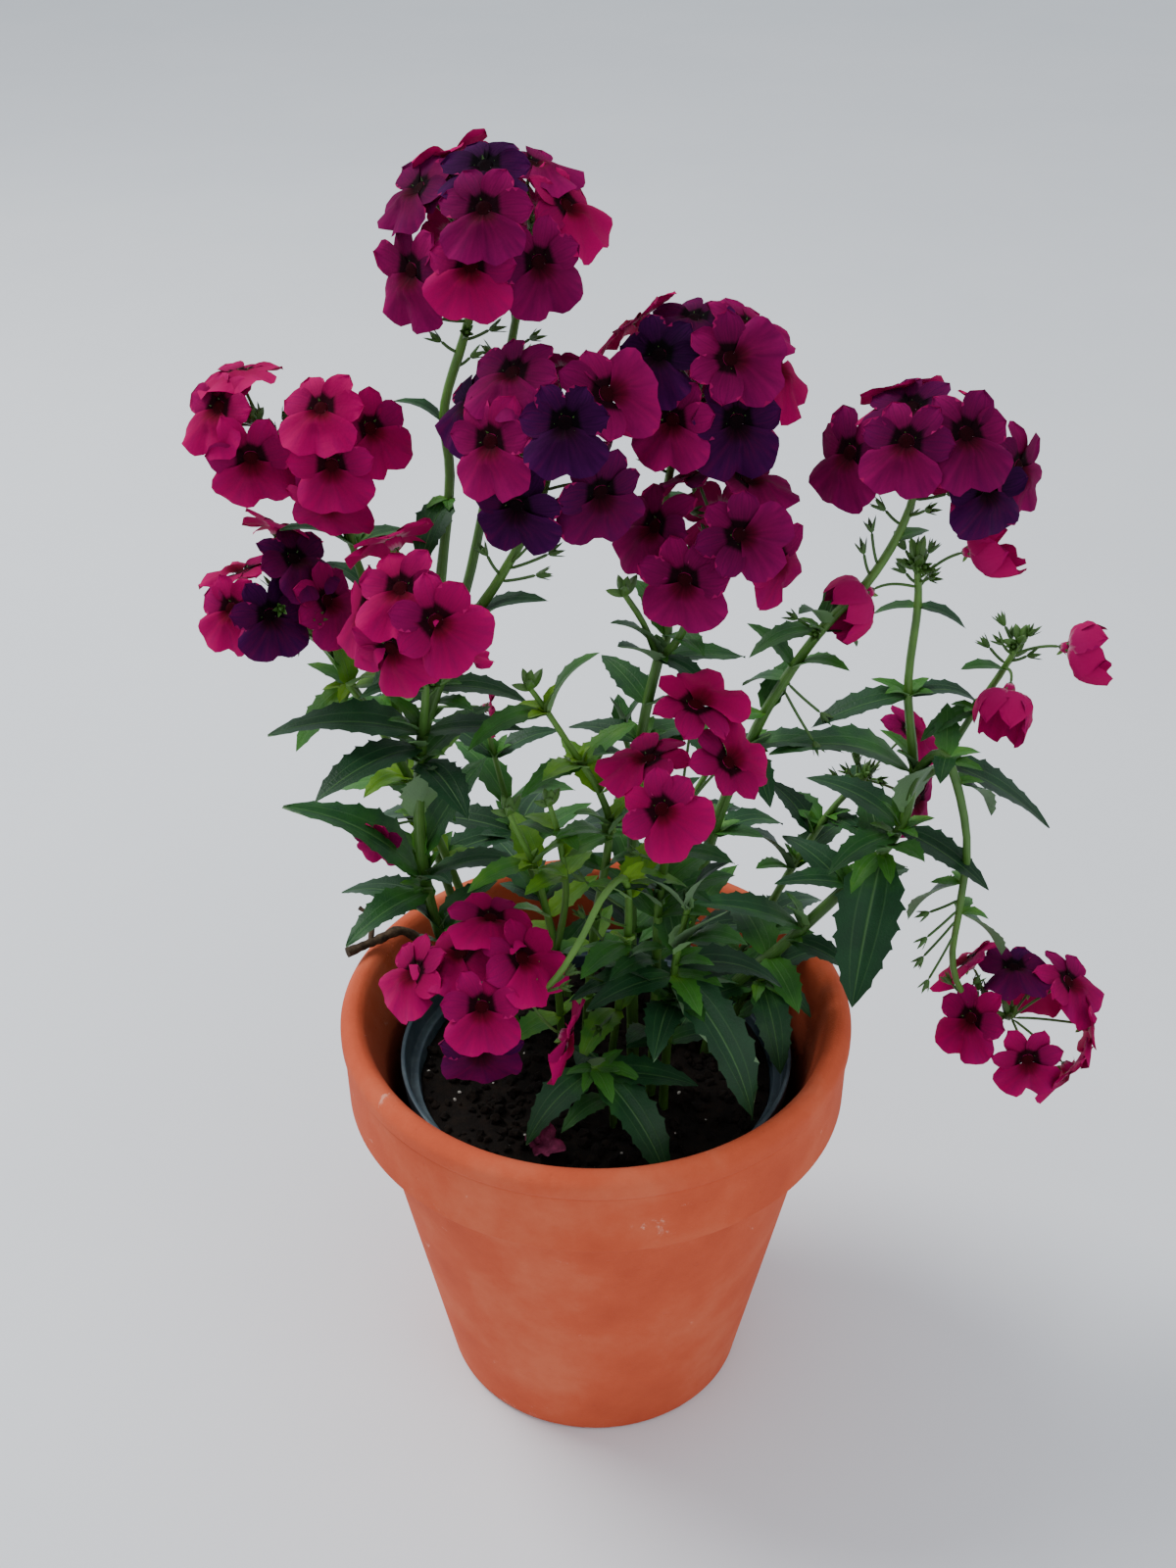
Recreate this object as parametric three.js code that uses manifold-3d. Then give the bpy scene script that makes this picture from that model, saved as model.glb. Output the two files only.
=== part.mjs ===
// A potted nemesia: a clay pot, a plastic nursery pot inside it, peat soil and one bushy plant.
// Millimetres, +Z up. The tables below are measured from the pots' common axis on the ground,
// and the whole is moved sideways at the end so that the origin is under the middle of its box.

import * as THREE from "three";
import { mergeVertices } from "three/addons/utils/BufferGeometryUtils.js";
import Module from "manifold-3d";

const wasm = await Module();
wasm.setup();

// Driving dimensions
const clayHeight = 160;
const clayRimRadius = 90;
const clayBandHeight = 33;
const clayBodyTopRadius = 80.6;
const clayBaseRadius = 56;
const clayWall = 7.6;
const clayFloor = 12;
const clayDrainRadius = 11;
const nurseryRimRadius = 70;
const nurseryCollarHeight = 10;
const nurseryBaseRadius = 45;
const nurseryHeight = 126;
const nurseryWall = 1.6;
const nurseryCollarStep = 3.6;
const nurseryDrainRadius = 5;
const nurseryDrainPlace = 26;
const soilBelowRim = 12;
const soilLumps = 2.4;
const bloomRadius = 12;
const leafThickness = 1.3;
const leafFold = 0.34;
const stemStep = 32;
const slenderStem = 1.55;
const goldenAngle = 137.5;
const clayFacets = 36;
const nurseryFacets = 28;
const soilFacets = 20;
const clearance = 0.3;
const slimRoom = 1.6;
const sliver = 0.1;
const speck = 0.06;
const scrapVolume = 60;
const potAxisX = -30;
const towardsLight = new THREE.Vector3(0, -0.6, 0.28);
const rearPlace = 15;

const degree = Math.PI / 180;

// Routes of the stems, foot or fork first: [x, y, z] points, radius at the foot and at the tip
const stems = {
  left: {
    route: [[-36, 12, 104], [-40, 11, 130], [-48, 8, 158], [-56, 0, 199], [-58, -8, 236], [-55, -14, 276],
      [-50, -10, 296], [-48, -4, 323], [-44, 2, 357], [-45, 4, 378], [-38, 6, 401], [-30, 8, 430]],
    radii: [2.3, 1.1],
  },
  leftBack: {
    route: [[-50, -10, 296], [-40, 10, 320], [-30, 20, 367], [-25, 20, 395], [-18, 16, 428]],
    radii: [1.6, 1.0],
  },
  leftFront: {
    route: [[-55, -14, 276], [-47, -22, 303], [-38, -26, 323], [-28, -26, 339], [-17, -24, 360],
      [-11, -20, 382]],
    radii: [1.7, 1.0],
  },
  leftShort: { route: [[-55, -14, 276], [-52, -26, 298], [-50, -34, 322]], radii: [1.4, 1.0] },
  farLeft: {
    route: [[-30, 25, 104], [-34, 26, 130], [-49, 30, 172], [-63, 28, 236], [-70, 16, 300], [-75, 8, 331],
      [-76, 2, 354], [-76, -3, 370]],
    radii: [1.9, 1.0],
  },
  farLeftFork: { route: [[-75, 8, 331], [-83, 12, 350], [-91, 10, 364], [-102, 6, 374]], radii: [1.2, 0.9] },
  lowLeft: {
    route: [[-24, 20, 104], [-29, 21, 130], [-45, 22, 182], [-62, 15, 241], [-80, 6, 287], [-88, 0, 305],
      [-98, -2, 318]],
    radii: [1.9, 1.0],
  },
  lowLeftFork: { route: [[-62, 15, 241], [-71, 6, 269], [-79, 0, 288]], radii: [1.3, 0.9] },
  middle: {
    route: [[14, 2, 104], [13, -2, 150], [12, -4, 189], [12, -6, 231], [14, -6, 271], [19, -6, 300],
      [22, 0, 308], [20, 8, 331], [22, 10, 356], [29, 9, 382]],
    radii: [2.1, 1.0],
  },
  middleFront: { route: [[19, -6, 300], [25, -12, 311], [31, -12, 328], [36, -10, 345]], radii: [1.3, 0.9] },
  middleBuds: { route: [[19, -6, 300], [14, -12, 316], [8, -16, 328]], radii: [1.2, 0.8] },
  middleSprig: { route: [[12, -6, 231], [13, 3, 250], [10, 6, 262], [8, 6, 268]], radii: [1.2, 0.8] },
  rightMiddle: {
    route: [[26, 15, 104], [28, 15, 130], [32, 18, 172], [40, 16, 220], [51, 12, 260], [60, 8, 284],
      [71, 4, 306], [84, 2, 324], [93, 2, 344], [97, 1, 368]],
    radii: [2.2, 1.0],
  },
  right: {
    route: [[37, 10, 104], [41, 10, 130], [48, 8, 158], [66, 6, 180], [90, 6, 210], [102, 10, 224],
      [106, 12, 245], [101, 12, 279], [101, 10, 310], [99, 8, 327]],
    radii: [2.4, 1.0],
  },
  rightFork: {
    route: [[106, 12, 243], [113, 12, 248], [117, 12, 256], [124, 12, 272], [130, 12, 284], [135, 10, 298]],
    radii: [1.4, 0.9],
  },
  rightArch: {
    route: [[104, 12, 236], [107, 6, 253], [112, 0, 262], [118, -2, 250], [124, 0, 225], [125, 4, 196],
      [126, 8, 170], [134, 9, 152], [150, 9, 144]],
    radii: [1.7, 1.0],
  },
  front: {
    route: [[18, -10, 104], [20, -12, 141], [20, -22, 186], [20, -28, 221], [22, -32, 245], [25, -38, 262]],
    radii: [1.9, 1.0],
  },
  drooping: {
    route: [[2, -6, 104], [6, -12, 150], [10, -30, 209], [9, -40, 240], [2, -48, 240], [-6, -52, 224],
      [-16, -52, 207], [-30, -50, 200]],
    radii: [1.9, 1.0],
  },
  frontShoot: {
    route: [[24, -16, 104], [24, -19, 140], [25, -27, 178], [26, -33, 205], [29, -37, 228]],
    radii: [1.7, 0.9],
  },
  frontLowShoot: { route: [[7, -24, 104], [6, -28, 130], [4, -36, 150], [-1, -41, 165]], radii: [1.5, 0.9] },
  budShoot: {
    route: [[-4, 6, 104], [-4, 4, 130], [-1, -9, 194], [4, -16, 240], [1, -16, 257], [-8, -18, 275],
      [-16, -19, 290], [-21, -19, 298]],
    radii: [1.6, 0.8],
  },
  lowShoot: {
    route: [[-12, 2, 104], [-12, 0, 135], [-14, -14, 190], [-19, -21, 228], [-24, -23, 244], [-28, -25, 256]],
    radii: [1.5, 0.8],
  },
  lowShootFork: { route: [[-14, -14, 190], [-10, -21, 220], [-12, -24, 245],
    [-15, -26, 260]], radii: [1.2, 0.8] },
  rightShoot: { route: [[46, 20, 104], [48, 17, 130], [54, 12, 152], [62, 4, 170]], radii: [1.7, 0.9] },
  backRight: {
    route: [[32, 30, 104], [36, 31, 125], [55, 36, 155], [70, 37, 189], [84, 39, 215], [96, 41, 228]],
    radii: [1.8, 0.9],
  },
  back: {
    route: [[10, 36, 104], [13, 38, 125], [19, 45, 152], [29, 50, 197], [45, 52, 233]],
    radii: [1.8, 0.9],
  },
  backLeft: {
    route: [[-8, 40, 104], [-10, 42, 125], [-18, 50, 160], [-30, 52, 200], [-38, 50, 240]],
    radii: [1.8, 0.9],
  },
};

// Leaves of each stem: [place along the stem from 0 to 1, azimuth and rise in degrees, length]
const leaves = {
  left: [[0.25, 199, 45, 26], [0.25, 29, 29, 27], [0.31, 180, 33, 54], [0.295, 225, -6, 36],
    [0.28, 152, -12, 38],
    [0.31, 348, 20, 36], [0.34, 30, 50, 40], [0.46, 184, 2, 48], [0.445, 224, -2, 42], [0.46, 346, 11, 34],
    [0.43, 300, -4, 34], [0.53, 356, -8, 30], [0.53, 206, 6, 25], [0.38, 297, 60, 34],
    [0.80, 178, 25, 16], [0.71, 245, -40, 25]],
  leftBack: [[0.42, 40, 9, 18]],
  leftFront: [[0.40, 345, 24, 27], [0.40, 140, -15, 18]],
  farLeft: [[0.72, 207, 25, 25], [0.72, 45, -6, 24], [0.84, 347, 39, 20], [0.49, 137, -30, 38],
    [0.49, 64, -20, 36], [0.35, 32, -3, 34], [0.39, 141, -30, 38]],
  lowLeft: [[0.68, 200, 49, 28], [0.65, 222, -34, 28], [0.68, 50, 30, 22], [0.50, 158, -25, 44]],
  lowLeftFork: [[0.96, 135, 60, 18], [0.96, 320, 30, 18]],
  middle: [[0.56, 216, 44, 26], [0.56, 318, -14, 22], [0.44, 152, -3, 26], [0.44, 36, -14, 28],
    [0.35, 149, -30, 34], [0.35, 30, 24, 28], [0.83, 55, -8, 20]],
  middleSprig: [[0.9, 200, 72, 15], [0.9, 350, 66, 16], [0.85, 100, 40, 14]],
  rightMiddle: [[0.66, 200, -12, 25], [0.66, 34, -33, 19], [0.43, 350, 4, 32], [0.43, 285, -16, 26],
    [0.56, 135, -28, 20], [0.33, 135, -30, 32], [0.33, 29, -9, 30], [0.89, 40, -4, 16]],
  right: [[0.77, 188, -17, 33], [0.77, 10, -13, 26], [0.89, 352, -23, 17], [0.89, 160, -20, 15],
    [0.67, 189, 15, 52], [0.60, 300, 60, 34], [0.57, 155, 17, 36], [0.55, 215, -8, 30], [0.565, 330, -22, 36],
    [0.50, 250, -56, 54],
    [0.36, 197, 25, 46], [0.34, 334, -15, 26], [0.42, 37, -10, 32], [0.42, 134, 14, 30]],
  rightFork: [[0.59, 200, -23, 21], [0.30, 351, -31, 44], [0.96, 203, 12, 17], [0.59, 26, -20, 22]],
  rightArch: [[0.36, 35, -46, 28], [0.63, 30, -50, 36], [0.57, 133, -52, 34]],
  front: [[0.60, 210, 37, 26], [0.60, 23, 10, 28], [0.80, 330, 10, 24], [0.40, 190, -10, 30]],
  drooping: [[0.28, 237, 8, 28], [0.42, 25, -22, 24]],
  frontShoot: [[0.78, 318, 52, 32], [0.66, 320, -52, 56], [0.70, 5, -18, 38], [0.56, 200, 40, 26],
    [0.98, 340, 58, 26], [0.98, 205, 50, 24], [0.53, 258, 4, 34]],
  frontLowShoot: [[0.97, 318, -44, 46], [0.90, 358, -8, 34], [0.95, 215, -34, 34], [0.80, 140, -30, 24],
    [0.99, 250, 40, 22]],
  budShoot: [[0.83, 352, 56, 28], [0.84, 205, -15, 28], [0.66, 216, -8, 24], [0.66, 23, 31, 22],
    [0.43, 225, 25, 26], [0.43, 341, 44, 27]],
  lowShoot: [[0.45, 162, -35, 30], [0.65, 206, -10, 24], [0.65, 335, 43, 22]],
  lowShootFork: [[0.55, 32, 2, 24], [0.68, 140, -10, 18]],
  rightShoot: [[0.97, 28, 3, 24], [0.86, 285, -44, 34], [0.95, 335, -40, 22], [0.79, 140, -37, 22]],
  backRight: [[0.60, 204, 49, 32], [0.63, 33, -32, 32], [0.71, 138, 31, 26], [0.77, 322, -13, 24],
    [0.46, 192, 0, 28], [0.46, 42, -10, 36], [0.93, 60, -6, 22]],
  back: [[0.50, 144, 16, 36], [0.50, 38, 24, 38], [0.75, 137, 4, 30], [0.75, 34, -3, 32], [0.96, 140, 20, 24],
    [0.96, 16, 14, 26]],
  backLeft: [[0.55, 120, 6, 40], [0.55, 40, 8, 34], [0.72, 170, 5, 38], [0.72, 75, -4, 34],
    [0.93, 150, 16, 28], [0.93, 20, 14, 26]],
};

// Stalks whose bloom has dropped or is still a bud: [place, azimuth, rise, length]
const stalks = {
  left: [[0.92, 200, 10, 13], [0.90, 20, 15, 13]],
  leftFront: [[0.62, 350, 25, 19], [0.64, 320, 45, 15], [0.60, 200, 60, 13], [0.58, 10, 5, 16]],
  farLeft: [[0.93, 30, 20, 12]],
  lowLeft: [[0.86, 250, -10, 12], [0.90, 60, 40, 12]],
  middle: [[0.82, 210, 5, 14], [0.83, 330, 15, 14]],
  rightMiddle: [[0.66, 200, 34, 15], [0.66, 252, 20, 13], [0.78, 170, 70, 13], [0.80, 180, 76, 17],
    [0.92, 0, 10, 15], [0.93, 180, 15, 15], [0.56, 0, -45, 22], [0.55, 340, -58, 27]],
  rightArch: [[0.64, 190, -55, 24], [0.67, 200, -66, 26], [0.62, 210, -30, 20], [0.60, 160, -40, 18]],
  drooping: [[0.22, 200, 34, 24], [0.25, 165, 50, 26], [0.31, 232, 40, 24], [0.34, 150, 20, 22],
    [0.19, 250, 20, 24]],
  front: [[0.76, 200, 30, 15]],
};

// Tight clusters of green buds at the tip of a stem: [number of buds, bud length]
const budClusters = {
  lowLeft: [3, 6],
  middleBuds: [5, 7],
  right: [6, 8],
  rightFork: [5, 7],
  rightArch: [4, 7],
  drooping: [4, 7],
  budShoot: [5, 7],
  lowShoot: [5, 7],
  lowShootFork: [5, 6],
};

// Where the flowering top of a stem begins, as a place from 0 to 1. It belongs to the head it carries.
const headStarts = {
  left: 0.87,
  leftBack: 0.62,
  leftFront: 0.72,
  leftShort: 0.5,
  farLeft: 0.86,
  farLeftFork: 0.5,
  lowLeft: 0.86,
  middle: 0.87,
  middleFront: 0.55,
  rightMiddle: 0.86,
  right: 0.93,
  rightFork: 0.85,
  rightArch: 0.85,
  front: 0.84,
  drooping: 0.84,
  backRight: 0.9,
};

const wineRed = 0x7a0b4c;
const magenta = 0xc0126a;

// Flower heads: middle of the head, the stems that carry it, size against a full bloom,
// and the middle of each bloom from the middle of the head. A bloom faces away from the middle and
// turns a little towards the light, but for those at the rear and those listed as away.
const heads = {
  head_top: {
    middle: [-29, 10, 424],
    stems: ["left", "leftBack"],
    colour: wineRed,
    size: 1,
    blooms: [[-13, 20, 20], [-13, 8, 19], [-22, 4, 16], [-2, -6, 25], [11, 12, 21], [21, 1, 12],
      [-2, -20, 17], [-6, -23, 2], [-24, -9, -4], [13, -17, 1], [-14, 19, -2], [12, 22, 2]],
  },
  head_centre_left: {
    middle: [-12, -18, 380],
    stems: ["leftFront"],
    colour: wineRed,
    size: 1,
    blooms: [[-12, -5, 20], [-18, -17, 4], [3, -23, 12], [15, -8, 15], [-24, 3, 8], [-11, -20, -14],
      [13, -18, -11], [2, 15, 14], [-9, 18, -4], [15, 10, -10]],
  },
  head_centre_right: {
    middle: [31, 10, 380],
    stems: ["middle"],
    colour: wineRed,
    size: 1,
    away: [7],
    blooms: [[-14, -12, 17], [7, -17, 18], [-10, -22, 1], [9, -21, 0], [-3, 7, 22], [13, 6, 20], [22, 5, 7],
      [-19, 12, 20], [-5, 23, -6], [12, 18, -6]],
  },
  head_under_centre: {
    middle: [36, -10, 343],
    stems: ["middleFront"],
    colour: wineRed,
    size: 1,
    away: [3],
    blooms: [[5, -18, 10], [-11, -18, -5], [-20, -4, 6], [-7, 10, 17], [9, 8, 16], [18, -2, -6], [2, 20, 0]],
  },
  head_right: {
    middle: [97, 0, 366],
    stems: ["rightMiddle"],
    colour: wineRed,
    size: 1.02,
    away: [7],
    blooms: [[-10, -20, 12], [8, -17, 13], [-6, 0, 15], [-6, 16, 12], [-24, -5, 2], [16, -17, -4],
      [27, -6, -2], [19, 4, 8], [4, 20, -4]],
  },
  head_far_left: {
    middle: [-103, 6, 374],
    stems: ["farLeftFork"],
    size: 0.95,
    blooms: [[-8, -5, 6], [-3, 9, 12], [2, -13, -7], [-12, 3, -4]],
  },
  head_left: {
    middle: [-75, -3, 372],
    stems: ["farLeft"],
    size: 0.95,
    blooms: [[-4, -9, 13], [-1, -16, -2], [10, -5, 5], [-4, -10, -16], [3, 11, 2]],
  },
  head_low_left: {
    middle: [-107, 0, 315],
    stems: ["lowLeft"],
    size: 0.92,
    blooms: [[8, 18, 20], [-5, -7, 3], [8, -11, 3], [15, 2, 16], [25, -3, 4], [-4, 11, 8]],
  },
  head_near_left: {
    middle: [-50, -35, 331],
    stems: ["leftShort"],
    size: 1,
    blooms: [[-10, 15, 18], [-6, -9, 13], [5, -18, 7], [-9, -14, -4], [-17, -2, 2]],
  },
  head_near: {
    middle: [22, -44, 268],
    stems: ["front"],
    size: 1,
    blooms: [[8, 14, 31], [18, 3, 17], [-7, 10, 14], [-3, -15, 11]],
  },
  head_drooping: {
    middle: [-38, -46, 196],
    stems: ["drooping"],
    size: 1,
    away: [6],
    blooms: [[-21, 2, 11], [2, -15, 10], [15, -2, 20], [4, 13, 25], [-6, 6, 16], [1, -14, -9], [30, -8, -8]],
  },
  head_hanging: {
    middle: [153, 10, 143],
    stems: ["rightArch"],
    size: 1,
    away: [3, 4, 6],
    blooms: [[-20, -9, 7], [0, -20, -3], [18, 4, 14], [26, -2, -1], [18, -14, -13], [-2, 9, 17],
      [-19, 13, 17], [8, 18, 2]],
  },
  head_young_right: {
    middle: [99, 8, 327],
    stems: ["right"],
    size: 0.68,
    away: [0, 1],
    blooms: [[-16, -5, -9], [16, -3, 5]],
  },
  head_young_far_right: {
    middle: [135, 10, 298],
    stems: ["rightFork"],
    size: 0.72,
    away: [0, 1],
    blooms: [[-4, -9, -14], [15, -3, -1]],
  },
  head_back_right: {
    middle: [96, 41, 228],
    stems: ["backRight"],
    size: 0.9,
    blooms: [[14, 3, 16], [18, -4, -9]],
  },
  bloom_small_left: {
    middle: [-50, 0, 280],
    stems: ["left", "farLeft"],
    onLeafyPart: true,
    size: 0.62,
    blooms: [[7, 14, 10], [15, 12, -8]],
  },
  bloom_small_low_left: {
    middle: [-64, 12, 238],
    stems: ["lowLeft"],
    onLeafyPart: true,
    size: 0.7,
    blooms: [[-9, -11, -10]],
  },
};

// Which stems grow from one foot, and the colour of the green of each
const darkGreen = 0x2c5a34;
const freshGreen = 0x4f8436;
const plants = {
  leafy_stem_left: { parts: ["left", "leftBack", "leftFront", "leftShort"], colour: darkGreen },
  leafy_stem_far_left: { parts: ["farLeft", "farLeftFork"], colour: darkGreen },
  leafy_stem_low_left: { parts: ["lowLeft", "lowLeftFork"], colour: freshGreen },
  leafy_stem_middle: { parts: ["middle", "middleFront", "middleBuds", "middleSprig"], colour: darkGreen },
  leafy_stem_right_middle: { parts: ["rightMiddle"], colour: darkGreen },
  leafy_stem_right: { parts: ["right", "rightFork", "rightArch"], colour: darkGreen },
  leafy_stem_front: { parts: ["front"], colour: darkGreen },
  leafy_stem_drooping: { parts: ["drooping"], colour: freshGreen },
  leafy_shoot_front: { parts: ["frontShoot"], colour: darkGreen },
  leafy_shoot_front_low: { parts: ["frontLowShoot"], colour: darkGreen },
  bud_shoot: { parts: ["budShoot"], colour: freshGreen },
  bud_shoot_low: { parts: ["lowShoot", "lowShootFork"], colour: freshGreen },
  leafy_shoot_right: { parts: ["rightShoot"], colour: darkGreen },
  leafy_stem_back_right: { parts: ["backRight"], colour: darkGreen },
  leafy_stem_back: { parts: ["back"], colour: darkGreen },
  leafy_stem_back_left: { parts: ["backLeft"], colour: darkGreen },
};

// Half outlines of a leaf blade: [place along the blade, half width], saw teeth pointing forward
const largeLeafEdge = [[0, 0.06], [0.28, 0.88], [0.45, 1], [0.47, 0.76], [0.68, 0.74], [0.7, 0.48], [1, 0]];
const smallLeafEdge = [[0, 0.08], [0.3, 0.92], [0.54, 0.96], [0.57, 0.66], [1, 0]];
const largeLeafLength = 33;

// Outline of a bloom seen from the front, up is 90 degrees: [angle, radius, height] of a bloom of radius 1:
// a broad lower lip notched at 270, a petal at each side and two upper petals
const bloomEdge = [[270, 0.8, 0.14], [294, 1.02, 0.06], [318, 0.9, 0], [332, 0.6, 0], [348, 0.95, -0.1],
  [370, 0.98, -0.14], [388, 0.54, 0], [410, 0.98, -0.18], [432, 1, -0.2], [450, 0.56, -0.04], [468, 1, -0.2],
  [490, 0.98, -0.18], [512, 0.54, 0], [530, 0.98, -0.14], [552, 0.95, -0.1], [568, 0.6, 0], [582, 0.9, 0],
  [606, 1.02, 0.06]];
const bloomNeckAngles = [330, 450, 570, 690];
const throatDepth = -0.14;
const bloomBack = -0.34;
const calyxRadius = 2;
const calyxLength = 4;
const stalkRadius = 0.75;
const stalkDrop = 9;
const budRadius = 1.8;
const leafyPartStart = 0.3;
const stemSamples = 60;

function draw(first, second) {
  const wave = Math.sin(first * 12.9898 + second * 78.233) * 43758.5453;
  return wave - Math.floor(wave);
}

// A closed solid from points and triangles, turned the right way out
function closedSolid(points, faces) {
  let volume = 0;
  for (const [a, b, c] of faces) {
    volume += points[a].clone().cross(points[b]).dot(points[c]);
  }
  const turned = volume < 0 ? faces.map(([a, b, c]) => [a, c, b]) : faces;
  return new wasm.Manifold(new wasm.Mesh({
    numProp: 3,
    vertProperties: Float32Array.from(points.flatMap((point) => point.toArray())),
    triVerts: Uint32Array.from(turned.flat()),
  }));
}

function solidOfGeometry(geometry) {
  geometry.deleteAttribute("normal");
  geometry.deleteAttribute("uv");
  const merged = mergeVertices(geometry, 1e-4);
  const points = [];
  for (let i = 0; i < merged.attributes.position.count; i += 1) {
    points.push(new THREE.Vector3().fromBufferAttribute(merged.attributes.position, i));
  }
  const faces = [];
  for (let i = 0; i < merged.index.count; i += 3) {
    const face = [merged.index.getX(i), merged.index.getX(i + 1), merged.index.getX(i + 2)];
    if (new Set(face).size === 3) faces.push(face);
  }
  return closedSolid(points, faces);
}

function turnedSolid(profile, segments) {
  const points = profile.map(([radius, height]) => new THREE.Vector2(radius, height));
  const geometry = new THREE.LatheGeometry(points, segments);
  geometry.rotateX(Math.PI / 2);
  return solidOfGeometry(geometry);
}

function curveOf(stem) {
  const points = stems[stem].route.map((point) => new THREE.Vector3(...point));
  return new THREE.CatmullRomCurve3(points, false, "catmullrom", 0.5);
}

// A tapered round stem along a curve, with flat ends
function tube(curve, startRadius, endRadius, sides, step, grow) {
  const count = Math.max(2, Math.round(curve.getLength() / step));
  const frames = curve.computeFrenetFrames(count, false);
  const points = [];
  const faces = [];
  for (let i = 0; i <= count; i += 1) {
    const centre = curve.getPointAt(i / count);
    if (i === 0) centre.addScaledVector(frames.tangents[0], -grow);
    if (i === count) centre.addScaledVector(frames.tangents[count], grow);
    const taper = startRadius + (endRadius - startRadius) * (i / count);
    const radius = (taper + grow) / Math.sqrt(Math.cos(Math.PI / sides));
    for (let k = 0; k < sides; k += 1) {
      const angle = (k / sides) * 2 * Math.PI;
      const point = centre.clone();
      point.addScaledVector(frames.normals[i], radius * Math.cos(angle));
      point.addScaledVector(frames.binormals[i], radius * Math.sin(angle));
      points.push(point);
    }
  }
  for (let i = 0; i < count; i += 1) {
    for (let k = 0; k < sides; k += 1) {
      const a = i * sides + k;
      const b = i * sides + ((k + 1) % sides);
      faces.push([a, b, a + sides], [b, b + sides, a + sides]);
    }
  }
  const last = count * sides;
  for (let k = 1; k < sides - 1; k += 1) {
    faces.push([0, k + 1, k], [last, last + k, last + k + 1]);
  }
  return closedSolid(points, faces);
}

// Triangles between two chains of points, each given as [index, place along the chain]
function zipChains(first, second) {
  const faces = [];
  let a = 0;
  let b = 0;
  while (a < first.length - 1 || b < second.length - 1) {
    const nextFirst = a < first.length - 1 ? first[a + 1][1] : Infinity;
    const nextSecond = b < second.length - 1 ? second[b + 1][1] : Infinity;
    if (nextFirst <= nextSecond) {
      faces.push([first[a][0], first[a + 1][0], second[b][0]]);
      a += 1;
    } else {
      faces.push([first[a][0], second[b + 1][0], second[b][0]]);
      b += 1;
    }
  }
  return faces.filter((face) => new Set(face).size === 3);
}

// A lance-shaped toothed leaf, folded up a little along its middle and arched over its chord
function leaf(root, azimuth, rise, length, grow) {
  const turn = azimuth * degree;
  const lift = rise * degree;
  const along = new THREE.Vector3(
    Math.cos(turn) * Math.cos(lift),
    Math.sin(turn) * Math.cos(lift),
    Math.sin(lift),
  );
  const side = new THREE.Vector3(-Math.sin(turn), Math.cos(turn), 0);
  const up = along.clone().cross(side);
  const seed = draw(azimuth, length);
  const edge = length > largeLeafLength ? largeLeafEdge : smallLeafEdge;
  const ribPlaces = [0, 0.45, 1];
  const halfWidth = length * (0.15 + 0.03 * seed) + 0.6;
  const arch = length * (0.05 + 0.1 * draw(length, azimuth));
  const place = (t, y, z) => root.clone()
    .addScaledVector(along, t * (length + grow))
    .addScaledVector(side, y)
    .addScaledVector(up, z + arch * 4 * t * (1 - t));
  const points = [];
  const add = (t, y, z) => points.push(place(t, y, z)) - 1;
  const tip = add(1, 0, 0);
  const chain = (sign) => edge.map(([t, width]) => {
    const y = sign * (width * halfWidth + grow);
    return [t === 1 ? tip : add(t, y, leafFold * Math.abs(y)), t];
  });
  const rib = (height) => ribPlaces.map((t) => [t === 1 ? tip : add(t, 0, height), t]);
  const left = chain(1);
  const right = chain(-1);
  const top = rib(grow * slimRoom);
  const bottom = rib(-leafThickness - grow * slimRoom);
  const faces = [
    ...zipChains(left, top),
    ...zipChains(top, right),
    ...zipChains(right, bottom),
    ...zipChains(bottom, left),
    [left[0][0], top[0][0], right[0][0]],
    [left[0][0], right[0][0], bottom[0][0]],
  ];
  return closedSolid(points, faces);
}

// Axes of a bloom that faces along a direction, with its upper petals up
function bloomAxes(facing) {
  const out = facing.clone().normalize();
  const up = new THREE.Vector3(0, 0, 1).addScaledVector(out, -out.z);
  if (up.length() < 0.2) up.set(0, 1, 0).addScaledVector(out, -out.y);
  up.normalize();
  return { out, up, side: up.clone().cross(out) };
}

// Points round a direction, like the corners of a three-sided stalk
function triangleRound(centre, axes, radius) {
  return bloomNeckAngles.slice(0, 3).map((angle) => centre.clone()
    .addScaledVector(axes.side, Math.cos(angle * degree) * radius)
    .addScaledVector(axes.up, Math.sin(angle * degree) * radius));
}

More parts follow.
